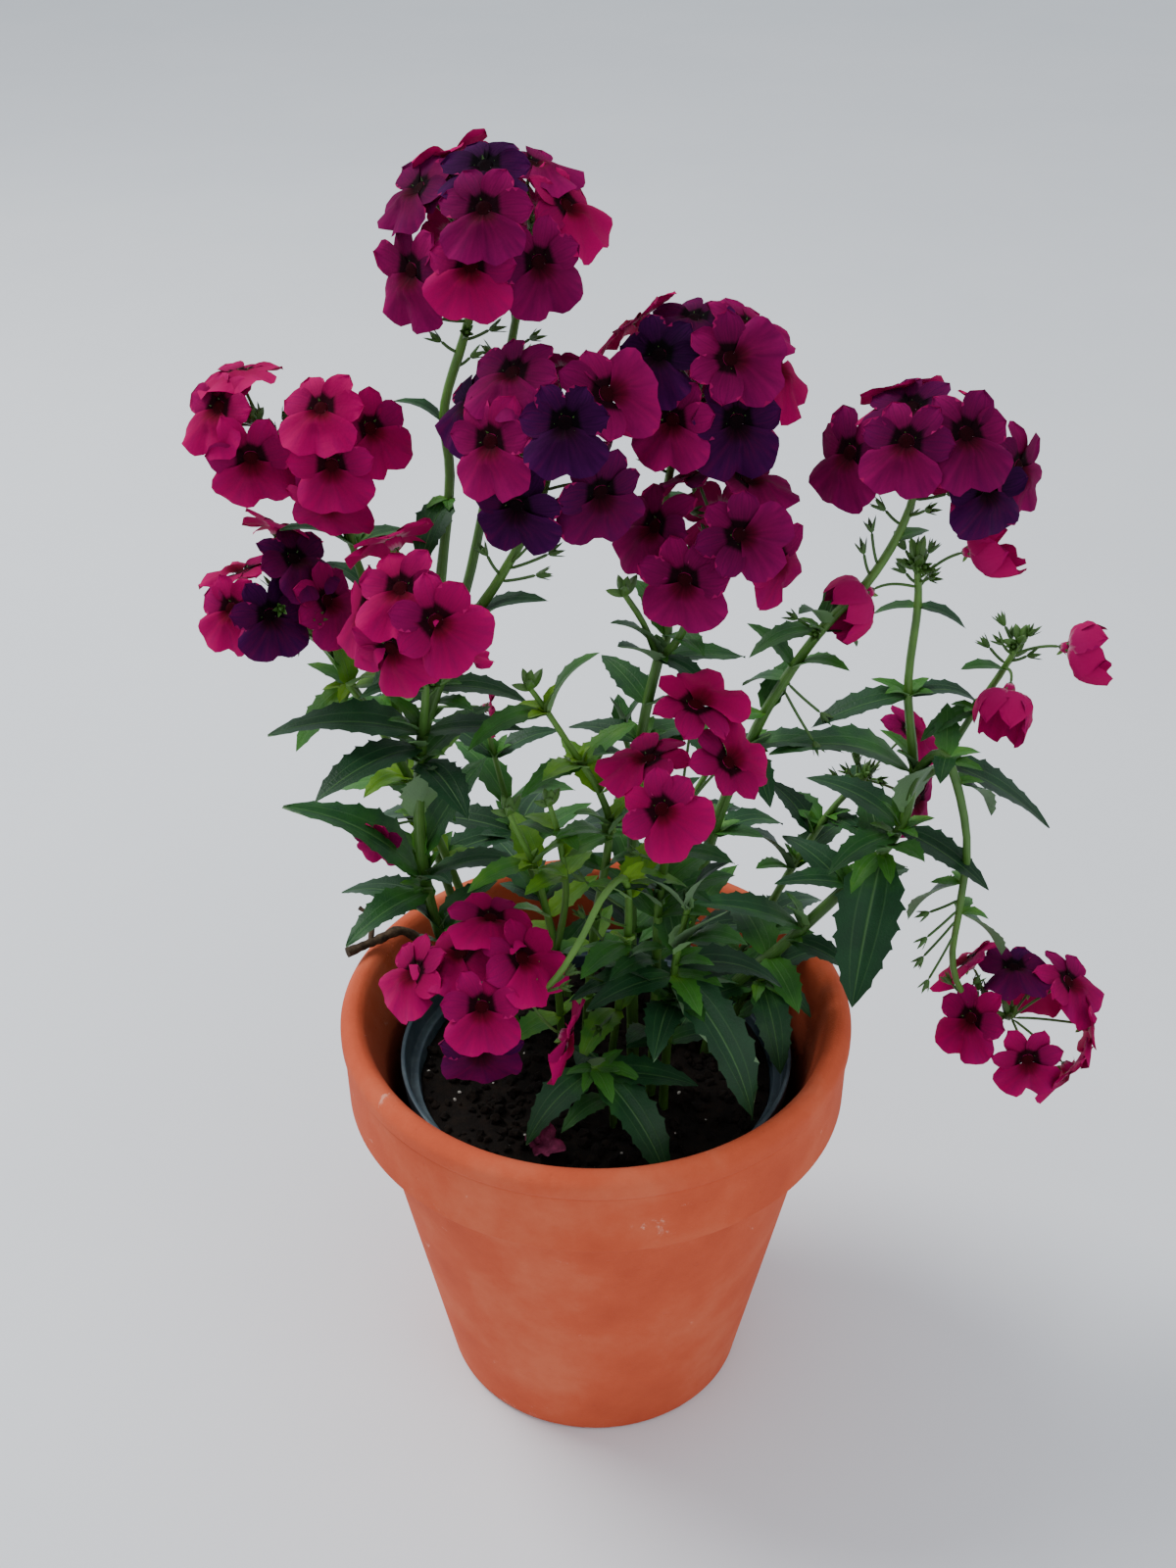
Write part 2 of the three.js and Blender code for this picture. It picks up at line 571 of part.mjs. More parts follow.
// One bloom with its calyx and stalk: a shallow dish with four petals and a broad lower lip,
// drawn to a cone behind that narrows to the stalk
function bloom(centre, facing, radius, seed, root) {
  const axes = bloomAxes(facing);
  const place = (angle, distance, height) => centre.clone()
    .addScaledVector(axes.side, Math.cos(angle * degree) * distance * radius)
    .addScaledVector(axes.up, Math.sin(angle * degree) * distance * radius)
    .addScaledVector(axes.out, height * radius);
  const points = [place(0, 0, throatDepth)];
  const edge = bloomEdge.map(([angle, distance, height], i) => {
    const stretch = 0.95 + 0.1 * draw(seed, i);
    const ruffle = 0.18 * (draw(i, seed) - 0.5);
    return [points.push(place(angle, distance * stretch, height + ruffle)) - 1, angle];
  });
  edge.push([edge[0][0], 630]);
  const closed = (ringPoints, angles) => {
    const chain = ringPoints.map((point, i) => [points.push(point) - 1, angles[i]]);
    return [...chain, [chain[0][0], angles[angles.length - 1]]];
  };
  const neck = closed(triangleRound(place(0, 0, bloomBack), axes, calyxRadius), bloomNeckAngles);
  const faces = [...zipChains(neck, edge)];
  for (let i = 0; i < bloomEdge.length; i += 1) {
    faces.push([edge[i][0], edge[i + 1][0], 0]);
  }
  const along = root.clone().sub(place(0, 0, bloomBack)).normalize();
  const turn = new THREE.Quaternion().setFromUnitVectors(axes.out.clone().negate(), along);
  const stalkAxes = {
    side: axes.side.clone().applyQuaternion(turn),
    up: axes.up.clone().applyQuaternion(turn),
  };
  const foot = closed(triangleRound(root, stalkAxes, stalkRadius), bloomNeckAngles);
  faces.push(...zipChains(foot, neck), [foot[0][0], foot[2][0], foot[1][0]]);
  return closedSolid(points, faces);
}

// A stalk with a bud or an empty calyx at its end, as one three-sided spindle
function budStalk(root, direction, length, grow) {
  const axes = bloomAxes(direction);
  const rings = [[-grow, 0.7], [length - 3, 1.6]].map(([place, radius]) => {
    return triangleRound(root.clone().addScaledVector(axes.out, place), axes, radius + grow * slimRoom);
  });
  const points = [...rings.flat(), root.clone().addScaledVector(axes.out, length + grow * 2)];
  const faces = [[0, 1, 2]];
  for (let i = 0; i < 3; i += 1) {
    const next = (i + 1) % 3;
    faces.push([next, i, 3 + i], [3 + next, next, 3 + i], [3 + next, 3 + i, 6]);
  }
  return closedSolid(points, faces);
}

// A bud: a slim four-sided spindle
function bud(root, direction, length, radius, grow) {
  const { out, up, side } = bloomAxes(direction);
  const points = [
    root.clone().addScaledVector(out, -0.5 - grow),
    root.clone().addScaledVector(out, length + grow),
  ];
  const faces = [];
  for (let i = 0; i < 4; i += 1) {
    const angle = i * 90 * degree;
    const point = root.clone().addScaledVector(out, length * 0.6);
    point.addScaledVector(side, Math.cos(angle) * (radius + grow));
    point.addScaledVector(up, Math.sin(angle) * (radius + grow));
    points.push(point);
    const next = (i + 1) % 4;
    faces.push([2 + i, 2 + next, 0], [2 + next, 2 + i, 1]);
  }
  return closedSolid(points, faces);
}

function directionOf(azimuth, rise) {
  return new THREE.Vector3(
    Math.cos(azimuth * degree) * Math.cos(rise * degree),
    Math.sin(azimuth * degree) * Math.cos(rise * degree),
    Math.sin(rise * degree),
  );
}

const headStart = (name) => headStarts[name] ?? 1;

// The point nearest to a wish point on the flowering tops of some stems, or on their leafy parts
function nearestStem(names, wish, onLeafyPart) {
  let best = { distance: Infinity };
  for (const name of names) {
    const curve = curveOf(name);
    const start = onLeafyPart ? leafyPartStart : headStart(name);
    for (let i = 0; i <= stemSamples; i += 1) {
      const point = curve.getPoint(start + (1 - start) * (i / stemSamples));
      const distance = point.distanceTo(wish);
      if (distance < best.distance) best = { distance, point };
    }
  }
  return best.point;
}

// Every bloom of every head, with its place, facing and root on the stem
const blooms = [];
for (const [head, row] of Object.entries(heads)) {
  const { middle, stems: carriers, onLeafyPart, size, away = [], blooms: offsets } = row;
  const centre = new THREE.Vector3(...middle);
  offsets.forEach((offset, i) => {
    const facing = new THREE.Vector3(...offset).normalize();
    if (offset[1] < rearPlace && !away.includes(i)) facing.add(towardsLight).normalize();
    const radius = bloomRadius * size * (0.94 + 0.12 * draw(i, middle[2]));
    const place = centre.clone().add(new THREE.Vector3(...offset));
    const wish = place.clone().addScaledVector(facing, bloomBack * radius - calyxLength);
    wish.z -= stalkDrop;
    const root = nearestStem(carriers, wish, onLeafyPart);
    blooms.push({ head, place, facing, radius, root, seed: middle[0] + i * 7 });
  });
}

// The stretch of a stem between two places, as a tube
function stemTube(name, from, to, grow) {
  const whole = curveOf(name);
  const count = Math.max(3, Math.round((whole.points.length - 1) * (to - from) * 2));
  const points = [];
  for (let i = 0; i <= count; i += 1) {
    points.push(whole.getPoint(from + (to - from) * (i / count)));
  }
  const [foot, tip] = stems[name].radii;
  const part = new THREE.CatmullRomCurve3(points, false, "catmullrom", 0.5);
  const sides = foot < slenderStem ? 3 : 4;
  return tube(part, foot + (tip - foot) * from, foot + (tip - foot) * to, sides, stemStep, grow);
}

// The foliage of a stem: its leaves, and the stalks and buds below its flowering top
function foliagePieces(name, grow) {
  const curve = curveOf(name);
  const end = headStart(name);
  const pieces = [];
  for (const [t, azimuth, rise, length] of leaves[name] ?? []) {
    pieces.push(leaf(curve.getPoint(Math.min(t, end - 0.01)), azimuth, rise, length, grow));
  }
  for (const [t, azimuth, rise, length] of stalks[name] ?? []) {
    if (t <= end) pieces.push(budStalk(curve.getPoint(t), directionOf(azimuth, rise), length, grow));
  }
  if (end === 1) pieces.push(...budPieces(name, grow));
  return pieces;
}

function budPieces(name, grow) {
  const curve = curveOf(name);
  const [count, length] = budClusters[name] ?? [0, 0];
  const pieces = [];
  for (let i = 0; i < count; i += 1) {
    const rise = 80 - (i / count) * 75;
    const size = length * (0.85 + 0.3 * draw(i, count));
    const root = curve.getPoint(1 - 0.005 * i);
    pieces.push(bud(root, directionOf(i * goldenAngle, rise), size, budRadius, grow));
  }
  return pieces;
}

// The flowering tops of the stems that carry a head
function topPieces(carriers, grow) {
  const pieces = [];
  for (const name of carriers) {
    const curve = curveOf(name);
    pieces.push(stemTube(name, headStart(name), 1, grow), ...budPieces(name, grow));
    for (const [t, azimuth, rise, length] of stalks[name] ?? []) {
      if (t <= headStart(name)) continue;
      pieces.push(budStalk(curve.getPoint(t), directionOf(azimuth, rise), length, grow));
    }
  }
  return pieces;
}

const union = (solids) => wasm.Manifold.union(solids);

function boxesMeet(first, second) {
  return [0, 1, 2].every((k) => first.min[k] < second.max[k] && second.min[k] < first.max[k]);
}

// What is left of a solid once the grown pieces near it are taken away, as separate bodies, largest first
function clearedBodies(solid, grownPieces) {
  const box = solid.boundingBox();
  const near = grownPieces.filter((piece) => boxesMeet(box, piece.boundingBox()));
  const cut = near.length ? solid.subtract(union(near)) : solid;
  const bodies = cut.simplify(sliver).decompose().filter((body) => body.volume() > 0);
  return bodies.sort((a, b) => b.volume() - a.volume());
}

// The neighbours of each point of a mesh
function neighbourSets(faces) {
  const sets = new Map();
  for (const face of faces) {
    for (const point of face) {
      if (!sets.has(point)) sets.set(point, new Set());
      face.forEach((other) => other !== point && sets.get(point).add(other));
    }
  }
  return sets;
}

// Points that touch without being drawn together move apart, each towards its own neighbours
function partTouching(points, sets) {
  const used = [...sets.keys()];
  const touching = used.filter((point) => used.some((other) => {
    return other !== point && points[point].distanceTo(points[other]) < speck / 2;
  }));
  for (const point of touching) {
    const middle = new THREE.Vector3();
    for (const other of sets.get(point)) middle.addScaledVector(points[other], 1 / sets.get(point).size);
    points[point].addScaledVector(middle.sub(points[point]).normalize(), speck);
  }
}

// A solid whose edges shorter than a speck are drawn together, wherever the surface stays closed
function withoutSpecks(solid) {
  const { numVert, numTri, vertProperties, triVerts } = solid.getMesh();
  const points = Array.from({ length: numVert }, (_, i) => {
    return new THREE.Vector3().fromArray(vertProperties, i * 3);
  });
  let faces = Array.from({ length: numTri }, (_, i) => Array.from(triVerts.slice(i * 3, i * 3 + 3)));
  for (;;) {
    const sets = neighbourSets(faces);
    const short = faces.flatMap(([a, b, c]) => [[a, b], [b, c], [c, a]])
      .filter(([a, b]) => a < b && points[a].distanceTo(points[b]) < speck)
      .find(([a, b]) => [...sets.get(a)].filter((point) => sets.get(b).has(point)).length === 2);
    if (!short) {
      partTouching(points, sets);
      return closedSolid(points, faces);
    }
    const [kept, gone] = short;
    faces = faces.map((face) => face.map((point) => (point === gone ? kept : point)))
      .filter((face) => new Set(face).size === 3);
  }
}

const plant = new THREE.Group();
plant.position.set(potAxisX, 0, 0);

function addNode(name, solid, colour, roughness) {
  const mesh = withoutSpecks(solid).getMesh();
  const geometry = new THREE.BufferGeometry();
  geometry.setAttribute("position", new THREE.BufferAttribute(Float32Array.from(mesh.vertProperties), 3));
  geometry.setIndex(new THREE.BufferAttribute(Uint32Array.from(mesh.triVerts), 1));
  geometry.computeVertexNormals();
  const material = new THREE.MeshStandardMaterial({ color: colour, roughness, metalness: 0 });
  const node = new THREE.Mesh(geometry, material);
  node.name = name;
  plant.add(node);
}

// The clay pot: a tapered body, a nearly upright band and a rounded bead on a groove
function clayPot() {
  const bandBottom = clayHeight - clayBandHeight;
  const profile = [
    [clayDrainRadius, 0], [clayBaseRadius, 0],
    [clayBodyTopRadius, bandBottom], [clayRimRadius - 1.4, bandBottom],
    [clayRimRadius - 0.9, clayHeight - 9.5], [clayRimRadius, clayHeight - 7],
    [clayRimRadius, clayHeight - 3], [clayRimRadius - 2.5, clayHeight],
    [clayRimRadius - 6, clayHeight], [clayRimRadius - 8.5, clayHeight - 2.5],
    [clayBodyTopRadius - clayWall, bandBottom], [clayBaseRadius - clayWall + 2.6, clayFloor],
    [clayDrainRadius, clayFloor], [clayDrainRadius, 0],
  ];
  return turnedSolid(profile, clayFacets);
}

const nurseryFloor = clayFloor + clearance;
const nurseryTop = nurseryFloor + nurseryHeight;

// The nursery pot: a thin tapered cup with a stepped collar and four drain holes
function nurseryPot() {
  const collarBottom = nurseryTop - nurseryCollarHeight;
  const bodyTop = nurseryRimRadius - nurseryCollarStep;
  const profile = [
    [0, nurseryFloor], [nurseryBaseRadius, nurseryFloor],
    [bodyTop, collarBottom], [nurseryRimRadius - 0.4, collarBottom],
    [nurseryRimRadius, nurseryTop], [nurseryRimRadius - nurseryWall, nurseryTop],
    [nurseryRimRadius - nurseryWall - 0.4, collarBottom + nurseryWall],
    [bodyTop - nurseryWall, collarBottom + nurseryWall],
    [nurseryBaseRadius - nurseryWall, nurseryFloor + nurseryWall], [0, nurseryFloor + nurseryWall],
  ];
  const cup = turnedSolid(profile, nurseryFacets);
  const holes = [45, 135, 225, 315].map((angle) => {
    const hole = new THREE.CylinderGeometry(nurseryDrainRadius, nurseryDrainRadius, 10, 6);
    hole.rotateX(Math.PI / 2);
    const place = directionOf(angle, 0).multiplyScalar(nurseryDrainPlace);
    hole.translate(place.x, place.y, nurseryFloor);
    return solidOfGeometry(hole);
  });
  return cup.subtract(union(holes));
}

// The soil: it fills the nursery pot, and its top is a lumpy plain
function soilBody() {
  const top = nurseryTop - soilBelowRim;
  const bottom = nurseryFloor + nurseryWall + clearance;
  const flare = nurseryRimRadius - nurseryCollarStep - nurseryBaseRadius;
  const slope = flare / (nurseryHeight - nurseryCollarHeight);
  const radiusAt = (height) => {
    return nurseryBaseRadius - nurseryWall - 0.5 + slope * (height - nurseryFloor - nurseryWall);
  };
  const profile = [[0, bottom], [radiusAt(bottom), bottom], [radiusAt(top - 3), top - 3]];
  for (const share of [0.94, 0.7, 0.4, 0]) {
    profile.push([radiusAt(top) * share, top - (share === 0.94 ? 1.5 : 0)]);
  }
  const points = profile.map(([radius, height]) => new THREE.Vector2(radius, height));
  const geometry = new THREE.LatheGeometry(points, soilFacets);
  geometry.rotateX(Math.PI / 2);
  const position = geometry.attributes.position;
  for (let i = 0; i < position.count; i += 1) {
    const x = Math.round(position.getX(i) * 100) / 100;
    const y = Math.round(position.getY(i) * 100) / 100;
    if (position.getZ(i) > top - 2) {
      position.setZ(i, position.getZ(i) + soilLumps * (draw(x + 3, y + 5) - 0.5));
    }
  }
  return solidOfGeometry(geometry);
}

// A dead stem that leans from the soil over the left edge of the clay pot
function deadStem(grow) {
  const route = [[-44, 30, 104], [-48, 32, 130], [-59, 37, 150], [-70, 35, 163.5], [-80, 30, 163],
    [-90, 23, 162.8]];
  const curve = new THREE.CatmullRomCurve3(route.map((point) => new THREE.Vector3(...point)));
  const snag = new THREE.CatmullRomCurve3([
    curve.getPoint(0.84),
    new THREE.Vector3(-82, 37, 168),
    new THREE.Vector3(-87, 42, 169),
  ]);
  return union([tube(curve, 2, 1.8, 6, 14, grow), tube(snag, 1.2, 0.9, 5, 7, grow)]);
}

const fallenPlace = new THREE.Vector3(-20, -40, 130);
const fallenFacing = new THREE.Vector3(0.3, -0.5, 0.8).normalize();
const fallenRoot = new THREE.Vector3(-34, -32, 129);
const fallenRadius = 9;
const fallenSeed = 5;

// Leaves give way to the stems of other plants and to leaves made before them
const lowerTube = (name, grow) => stemTube(name, 0, headStart(name), grow);
const grownStems = Object.keys(stems).map((name) => ({ name, solid: stemTube(name, 0, 1, clearance) }));
const grownPieces = [];
for (const [name, { parts, colour }] of Object.entries(plants)) {
  const others = grownStems.filter((stem) => !parts.includes(stem.name)).map((stem) => stem.solid);
  const ownFoliage = union(parts.flatMap((part) => foliagePieces(part, 0)));
  const foliage = clearedBodies(ownFoliage, [...others, ...grownPieces]);
  const solid = union([...parts.map((part) => lowerTube(part, 0)), ...foliage]);
  addNode(name, clearedBodies(solid, [])[0], colour, 0.6);
  for (const part of parts) {
    grownPieces.push(lowerTube(part, clearance), ...foliagePieces(part, clearance));
  }
}

addNode("dead_stem", clearedBodies(deadStem(0), grownPieces)[0], 0x4a3a2a, 0.9);
grownPieces.push(deadStem(clearance));

// A bloom and its stalk with a little room round it, as one solid
function grownBloom({ place, facing, radius, seed, root }) {
  return union([-clearance, clearance].map((step) => {
    return bloom(place.clone().addScaledVector(facing, step), facing, radius + clearance, seed, root);
  }));
}

// A head is one body with the flowering top that carries it. A bloom on a leafy stretch is a node of its own.
for (const [head, { stems: carriers, onLeafyPart, colour }] of Object.entries(heads)) {
  const members = blooms.filter((item) => item.head === head);
  const tops = (grow) => (onLeafyPart ? [] : topPieces(carriers, grow));
  const petals = members.map((item) => bloom(item.place, item.facing, item.radius, item.seed, item.root));
  const bodies = clearedBodies(union([...petals, ...tops(0)]), grownPieces);
  const whole = bodies.filter((body) => body.volume() > scrapVolume);
  whole.forEach((body, i) => {
    addNode(whole.length > 1 ? `${head}_${i + 1}` : head, body, colour ?? magenta, 0.55);
  });
  grownPieces.push(...members.map(grownBloom), ...tops(clearance));
}

const soil = clearedBodies(soilBody(), grownPieces)[0];
addNode("potting_soil", soil, 0x241d19, 0.95);

// The fallen bloom lies on the soil, with its underside following it
const fallenBloom = bloom(fallenPlace, fallenFacing, fallenRadius, fallenSeed, fallenRoot);
grownPieces.push(soil.translate([0, 0, clearance]));
addNode("fallen_bloom", clearedBodies(fallenBloom, grownPieces)[0], 0x8c3050, 0.7);
addNode("nursery_pot", nurseryPot(), 0x34454f, 0.5);
addNode("terracotta_pot", clayPot(), 0xb9603f, 0.85);

export default plant;
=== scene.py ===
import math
import random

import bpy
import bmesh
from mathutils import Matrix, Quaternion, Vector, noise


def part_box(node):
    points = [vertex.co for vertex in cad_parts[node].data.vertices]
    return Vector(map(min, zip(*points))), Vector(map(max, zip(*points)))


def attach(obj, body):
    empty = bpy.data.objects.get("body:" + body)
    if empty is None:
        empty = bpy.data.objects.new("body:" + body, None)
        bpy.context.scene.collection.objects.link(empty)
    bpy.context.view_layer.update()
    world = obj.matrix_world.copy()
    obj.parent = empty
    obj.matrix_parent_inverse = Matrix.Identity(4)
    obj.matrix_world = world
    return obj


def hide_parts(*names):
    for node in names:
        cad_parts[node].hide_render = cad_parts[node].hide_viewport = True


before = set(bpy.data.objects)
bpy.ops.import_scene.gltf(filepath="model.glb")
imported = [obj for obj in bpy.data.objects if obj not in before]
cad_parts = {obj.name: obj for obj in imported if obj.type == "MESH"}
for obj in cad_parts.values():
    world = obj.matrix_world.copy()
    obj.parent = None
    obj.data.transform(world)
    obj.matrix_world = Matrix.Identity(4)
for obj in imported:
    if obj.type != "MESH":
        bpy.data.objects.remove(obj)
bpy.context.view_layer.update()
print("frame loaded:", len(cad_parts), "nodes")

mm = 0.001
lowPot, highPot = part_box("terracotta_pot")
potAxisX = (lowPot[0] + highPot[0]) / 2  # the tables below are in mm from the pots' own axis


def draw(first, second):  # a fixed draw from 0 to 1 for each pair of numbers
    wave = math.sin(first * 12.9898 + second * 78.233) * 43758.5453
    return wave - math.floor(wave)


def colour(code):  # an sRGB hex colour as the linear values that a shader takes
    parts = [int(code[i:i + 2], 16) / 255 for i in (1, 3, 5)]
    return (*[c / 12.92 if c <= 0.04045 else ((c + 0.055) / 1.055) ** 2.4 for c in parts], 1)


def scaleOf(size):  # a texture's scale for a pattern of a size in mm
    return 1000 / size


# Adds a shader node with its values, links and colour stops; a link from a node takes its first output
def addNode(tree, kind, inputs=None, links=None, stops=None, **settings):
    node = tree.nodes.new("ShaderNode" + kind)
    for name, value in settings.items():
        setattr(node, name, value)
    for key, value in (inputs or {}).items():
        node.inputs[key].default_value = value
    for key, source in (links or {}).items():
        tree.links.new(source.outputs[0] if hasattr(source, "outputs") else source, node.inputs[key])
    for i, (place, code) in enumerate(stops or []):
        if i < 2:
            node.color_ramp.elements[i].position = place
        else:
            node.color_ramp.elements.new(place)
    for element, (place, code) in zip(node.color_ramp.elements if stops else [], stops or []):
        element.color = colour(code)
    return node


# An empty material, its node tree and the object's own coordinates
def newMaterial(name):
    material = bpy.data.materials.new(name)
    material.use_nodes = True
    tree = material.node_tree
    tree.nodes.clear()
    return material, tree, addNode(tree, "TexCoord").outputs["Object"]


# The surface that every material ends in: a dyed, rough face with relief, and daylight through a thin one
def finishMaterial(tree, dye, relief, look):
    links = {"Base Color": dye}
    if relief:
        links["Normal"] = addNode(tree, "Bump", {"Strength": look["relief"], "Distance": look["depth"] * mm},
                                  {"Height": relief})
    values = {"Roughness": look["rough"], "Specular IOR Level": look["gloss"]}
    surface = addNode(tree, "BsdfPrincipled", values, links)
    if "through" in look:
        glow = addNode(tree, "BsdfTranslucent", links={0: dye})
        surface = addNode(tree, "MixShader", {0: look["through"]}, {1: surface, 2: glow})
    addNode(tree, "OutputMaterial", links={0: surface})


# In every look: rough and gloss are the face's roughness and specular level, relief and depth (mm) its bump,
# and through is the share of daylight that comes through. Other lengths are in mm.
petalLook = {
    "tones": [(0, "#24002F"), (0.2, "#400044"), (0.5, "#72004A"), (0.75, "#98005A"), (1, "#B8005E")],
    "streaks": (34, 1.6, 1),  # rays round a petal's two faces, about 0.5 mm each, and along it
    "streakTone": 0.2,  # how far a ray moves the tone
    "eyeEdge": 0.12,  # how far the rays fray the edge of the eye
    "velvetSize": 1.1, "rough": 0.75, "gloss": 0.06, "relief": 0.35, "depth": 0.4, "through": 0.22,
}


# Velvety petal face: dyed by the bloom's own tone, with fine rays, a dark eye, a fade from darker at the base
# to paler at the rim that is partly the petal's own colour and partly painted shade, and a glow of daylight
def petalMaterial(name, eye):
    material, tree, spot = newMaterial(name)
    uv = addNode(tree, "UVMap", uv_map="UVMap")
    split = addNode(tree, "SeparateXYZ", links={0: uv})
    stretched = addNode(tree, "Mapping", {"Scale": petalLook["streaks"]}, {"Vector": uv})
    rays = addNode(tree, "TexNoise", {"Scale": 1, "Detail": 2}, {"Vector": stretched})
    tone = addNode(tree, "Attribute", attribute_name="tone")
    ray = addNode(tree, "MapRange", {3: -petalLook["streakTone"], 4: petalLook["streakTone"]}, {0: rays})
    shade = addNode(tree, "Math", links={0: tone.outputs["Fac"], 1: ray}, operation="ADD")
    dye = addNode(tree, "ValToRGB", links={0: shade}, stops=petalLook["tones"])
    edge = addNode(tree, "Math", {1: petalLook["eyeEdge"]}, {0: ray, 2: split.outputs["Y"]},
                   operation="MULTIPLY_ADD")
    # the eye and a fade darker towards the petal's base: partly its own colour, partly painted shade
    dark = addNode(tree, "ValToRGB", links={0: edge}, stops=eye)
    blend = addNode(tree, "Mix", {0: 1.0}, {6: dye, 7: dark}, data_type="RGBA", blend_type="MULTIPLY")
    velvet = addNode(tree, "TexNoise", {"Scale": scaleOf(petalLook["velvetSize"]), "Detail": 2},
                     {"Vector": spot})
    height = addNode(tree, "Math", {1: 0.5}, {0: rays, 2: velvet}, operation="MULTIPLY_ADD")
    finishMaterial(tree, blend.outputs[2], height, petalLook)
    return material


backLook = {
    "base": "#F0D2DA", "middle": "#BC1468", "rim": "#B40058",
    "streaks": (22, 1.2, 1),
    "streakReach": 0.22,  # how far the whitish base runs up along a ray
    "dye": 0.45,  # share of the bloom's own tone
    "rough": 0.7, "gloss": 0.1, "relief": 0.3, "depth": 0.4, "through": 0.22,
}


# Back of a petal: pinker and paler, whitish and streaked where it leaves the calyx
def petalBackMaterial():
    material, tree, spot = newMaterial("petalBack")
    uv = addNode(tree, "UVMap", uv_map="UVMap")
    split = addNode(tree, "SeparateXYZ", links={0: uv})
    stretched = addNode(tree, "Mapping", {"Scale": backLook["streaks"]}, {"Vector": uv})
    rays = addNode(tree, "TexNoise", {"Scale": 1, "Detail": 3}, {"Vector": stretched})
    reach = addNode(tree, "MapRange", {3: -backLook["streakReach"], 4: backLook["streakReach"]}, {0: rays})
    place = addNode(tree, "Math", links={0: split.outputs["Y"], 1: reach}, operation="ADD")
    ground = addNode(tree, "ValToRGB", links={0: place},
                     stops=[(0.05, backLook["base"]), (0.35, backLook["middle"]), (0.8, backLook["rim"])])
    tone = addNode(tree, "Attribute", attribute_name="tone")
    dye = addNode(tree, "ValToRGB", links={0: tone.outputs["Fac"]}, stops=petalLook["tones"])
    blend = addNode(tree, "Mix", {0: backLook["dye"]}, {6: ground, 7: dye}, data_type="RGBA")
    finishMaterial(tree, blend.outputs[2], rays, backLook)
    return material


leafLook = {
    "tones": [(0, "#0E2A18"), (0.35, "#1B4724"), (0.7, "#3C7822"), (1, "#7DAE2A")],
    "nerve": "#6E9C58", "nerveShare": 0.42,
    "nervePlace": 0.46,  # the side nerves' place from the midrib (0) to the margin (1)
    "nerveHalfWidth": 0.05,
    "underside": "#8FAE80",
    "footPale": 0.22,  # how much fresher the green is at the leaf's foot
    "blotchSize": 9, "blotchTone": 0.2, "poreSize": 0.7,
    "rough": 0.5, "gloss": 0.3, "relief": 0.4, "depth": 0.5, "through": 0.16,
}


# Leaf face: satin green by the leaf's age, a paler midrib and two side nerves pressed into it; paler is
# the share of the whitish bloom that dulls the underside
def leafMaterial(name, paler):
    material, tree, spot = newMaterial(name)
    uv = addNode(tree, "UVMap", uv_map="UVMap")
    split = addNode(tree, "SeparateXYZ", links={0: uv})
    middle = addNode(tree, "Math", {1: 0.25}, {0: split}, operation="SUBTRACT")
    side = addNode(tree, "Math", links={0: middle}, operation="ABSOLUTE")
    across = addNode(tree, "Math", {1: 4.0}, {0: side}, operation="MULTIPLY")
    nerve, half = leafLook["nervePlace"], leafLook["nerveHalfWidth"]
    nerves = addNode(tree, "ValToRGB", links={0: across},
                     stops=[(0, "#FFFFFF"), (0.07, "#000000"), (nerve - half, "#000000"), (nerve, "#A0A0A0"),
                            (nerve + half, "#000000")])
    patches = addNode(tree, "TexNoise", {"Scale": scaleOf(leafLook["blotchSize"]), "Detail": 3},
                      {"Vector": spot})
    shift = addNode(tree, "MapRange", {3: -leafLook["blotchTone"], 4: leafLook["blotchTone"]}, {0: patches})
    foot = addNode(tree, "MapRange", {1: 0.0, 2: 0.3, 3: leafLook["footPale"], 4: 0.0},
                   {0: split.outputs["Y"]})
    tone = addNode(tree, "Attribute", attribute_name="tone")
    aged = addNode(tree, "Math", links={0: tone.outputs["Fac"], 1: shift}, operation="ADD")
    shade = addNode(tree, "Math", links={0: aged, 1: foot}, operation="ADD")
    green = addNode(tree, "ValToRGB", links={0: shade}, stops=leafLook["tones"])
    under = addNode(tree, "Mix", {0: paler, 7: colour(leafLook["underside"])}, {6: green}, data_type="RGBA")
    faint = addNode(tree, "Math", {1: leafLook["nerveShare"]}, {0: nerves}, operation="MULTIPLY")
    blend = addNode(tree, "Mix", {7: colour(leafLook["nerve"])}, {0: faint, 6: under.outputs[2]},
                    data_type="RGBA")
    pores = addNode(tree, "TexNoise", {"Scale": scaleOf(leafLook["poreSize"]), "Detail": 2}, {"Vector": spot})
    height = addNode(tree, "Math", {1: -1.4}, {0: nerves, 2: pores}, operation="MULTIPLY_ADD")
    finishMaterial(tree, blend.outputs[2], height, {**leafLook, "rough": leafLook["rough"] + 0.2 * paler})
    return material


stemLook = {
    "tones": [(0, "#2A3C17"), (0.4, "#3A601E"), (1, "#628F32")],
    "ridges": 5,  # round the stem
    "patchSize": 8.3, "patchTone": 0.25, "rough": 0.5, "gloss": 0.5, "relief": 0.25, "depth": 0.3,
}


# Soft green stem, duller and browner at the foot, with fine ridges along it
def stemMaterial():
    material, tree, spot = newMaterial("stemGreen")
    uv = addNode(tree, "UVMap", uv_map="UVMap")
    ridges = addNode(tree, "TexWave", {"Scale": stemLook["ridges"], "Distortion": 1.0, "Detail": 1},
                     {"Vector": uv}, bands_direction="X")
    patches = addNode(tree, "TexNoise", {"Scale": scaleOf(stemLook["patchSize"]), "Detail": 3},
                      {"Vector": spot})
    shift = addNode(tree, "MapRange", {3: -stemLook["patchTone"], 4: stemLook["patchTone"]}, {0: patches})
    tone = addNode(tree, "Attribute", attribute_name="tone")
    shade = addNode(tree, "Math", links={0: tone.outputs["Fac"], 1: shift}, operation="ADD")
    green = addNode(tree, "ValToRGB", links={0: shade}, stops=stemLook["tones"])
    finishMaterial(tree, green, ridges, stemLook)
    return material


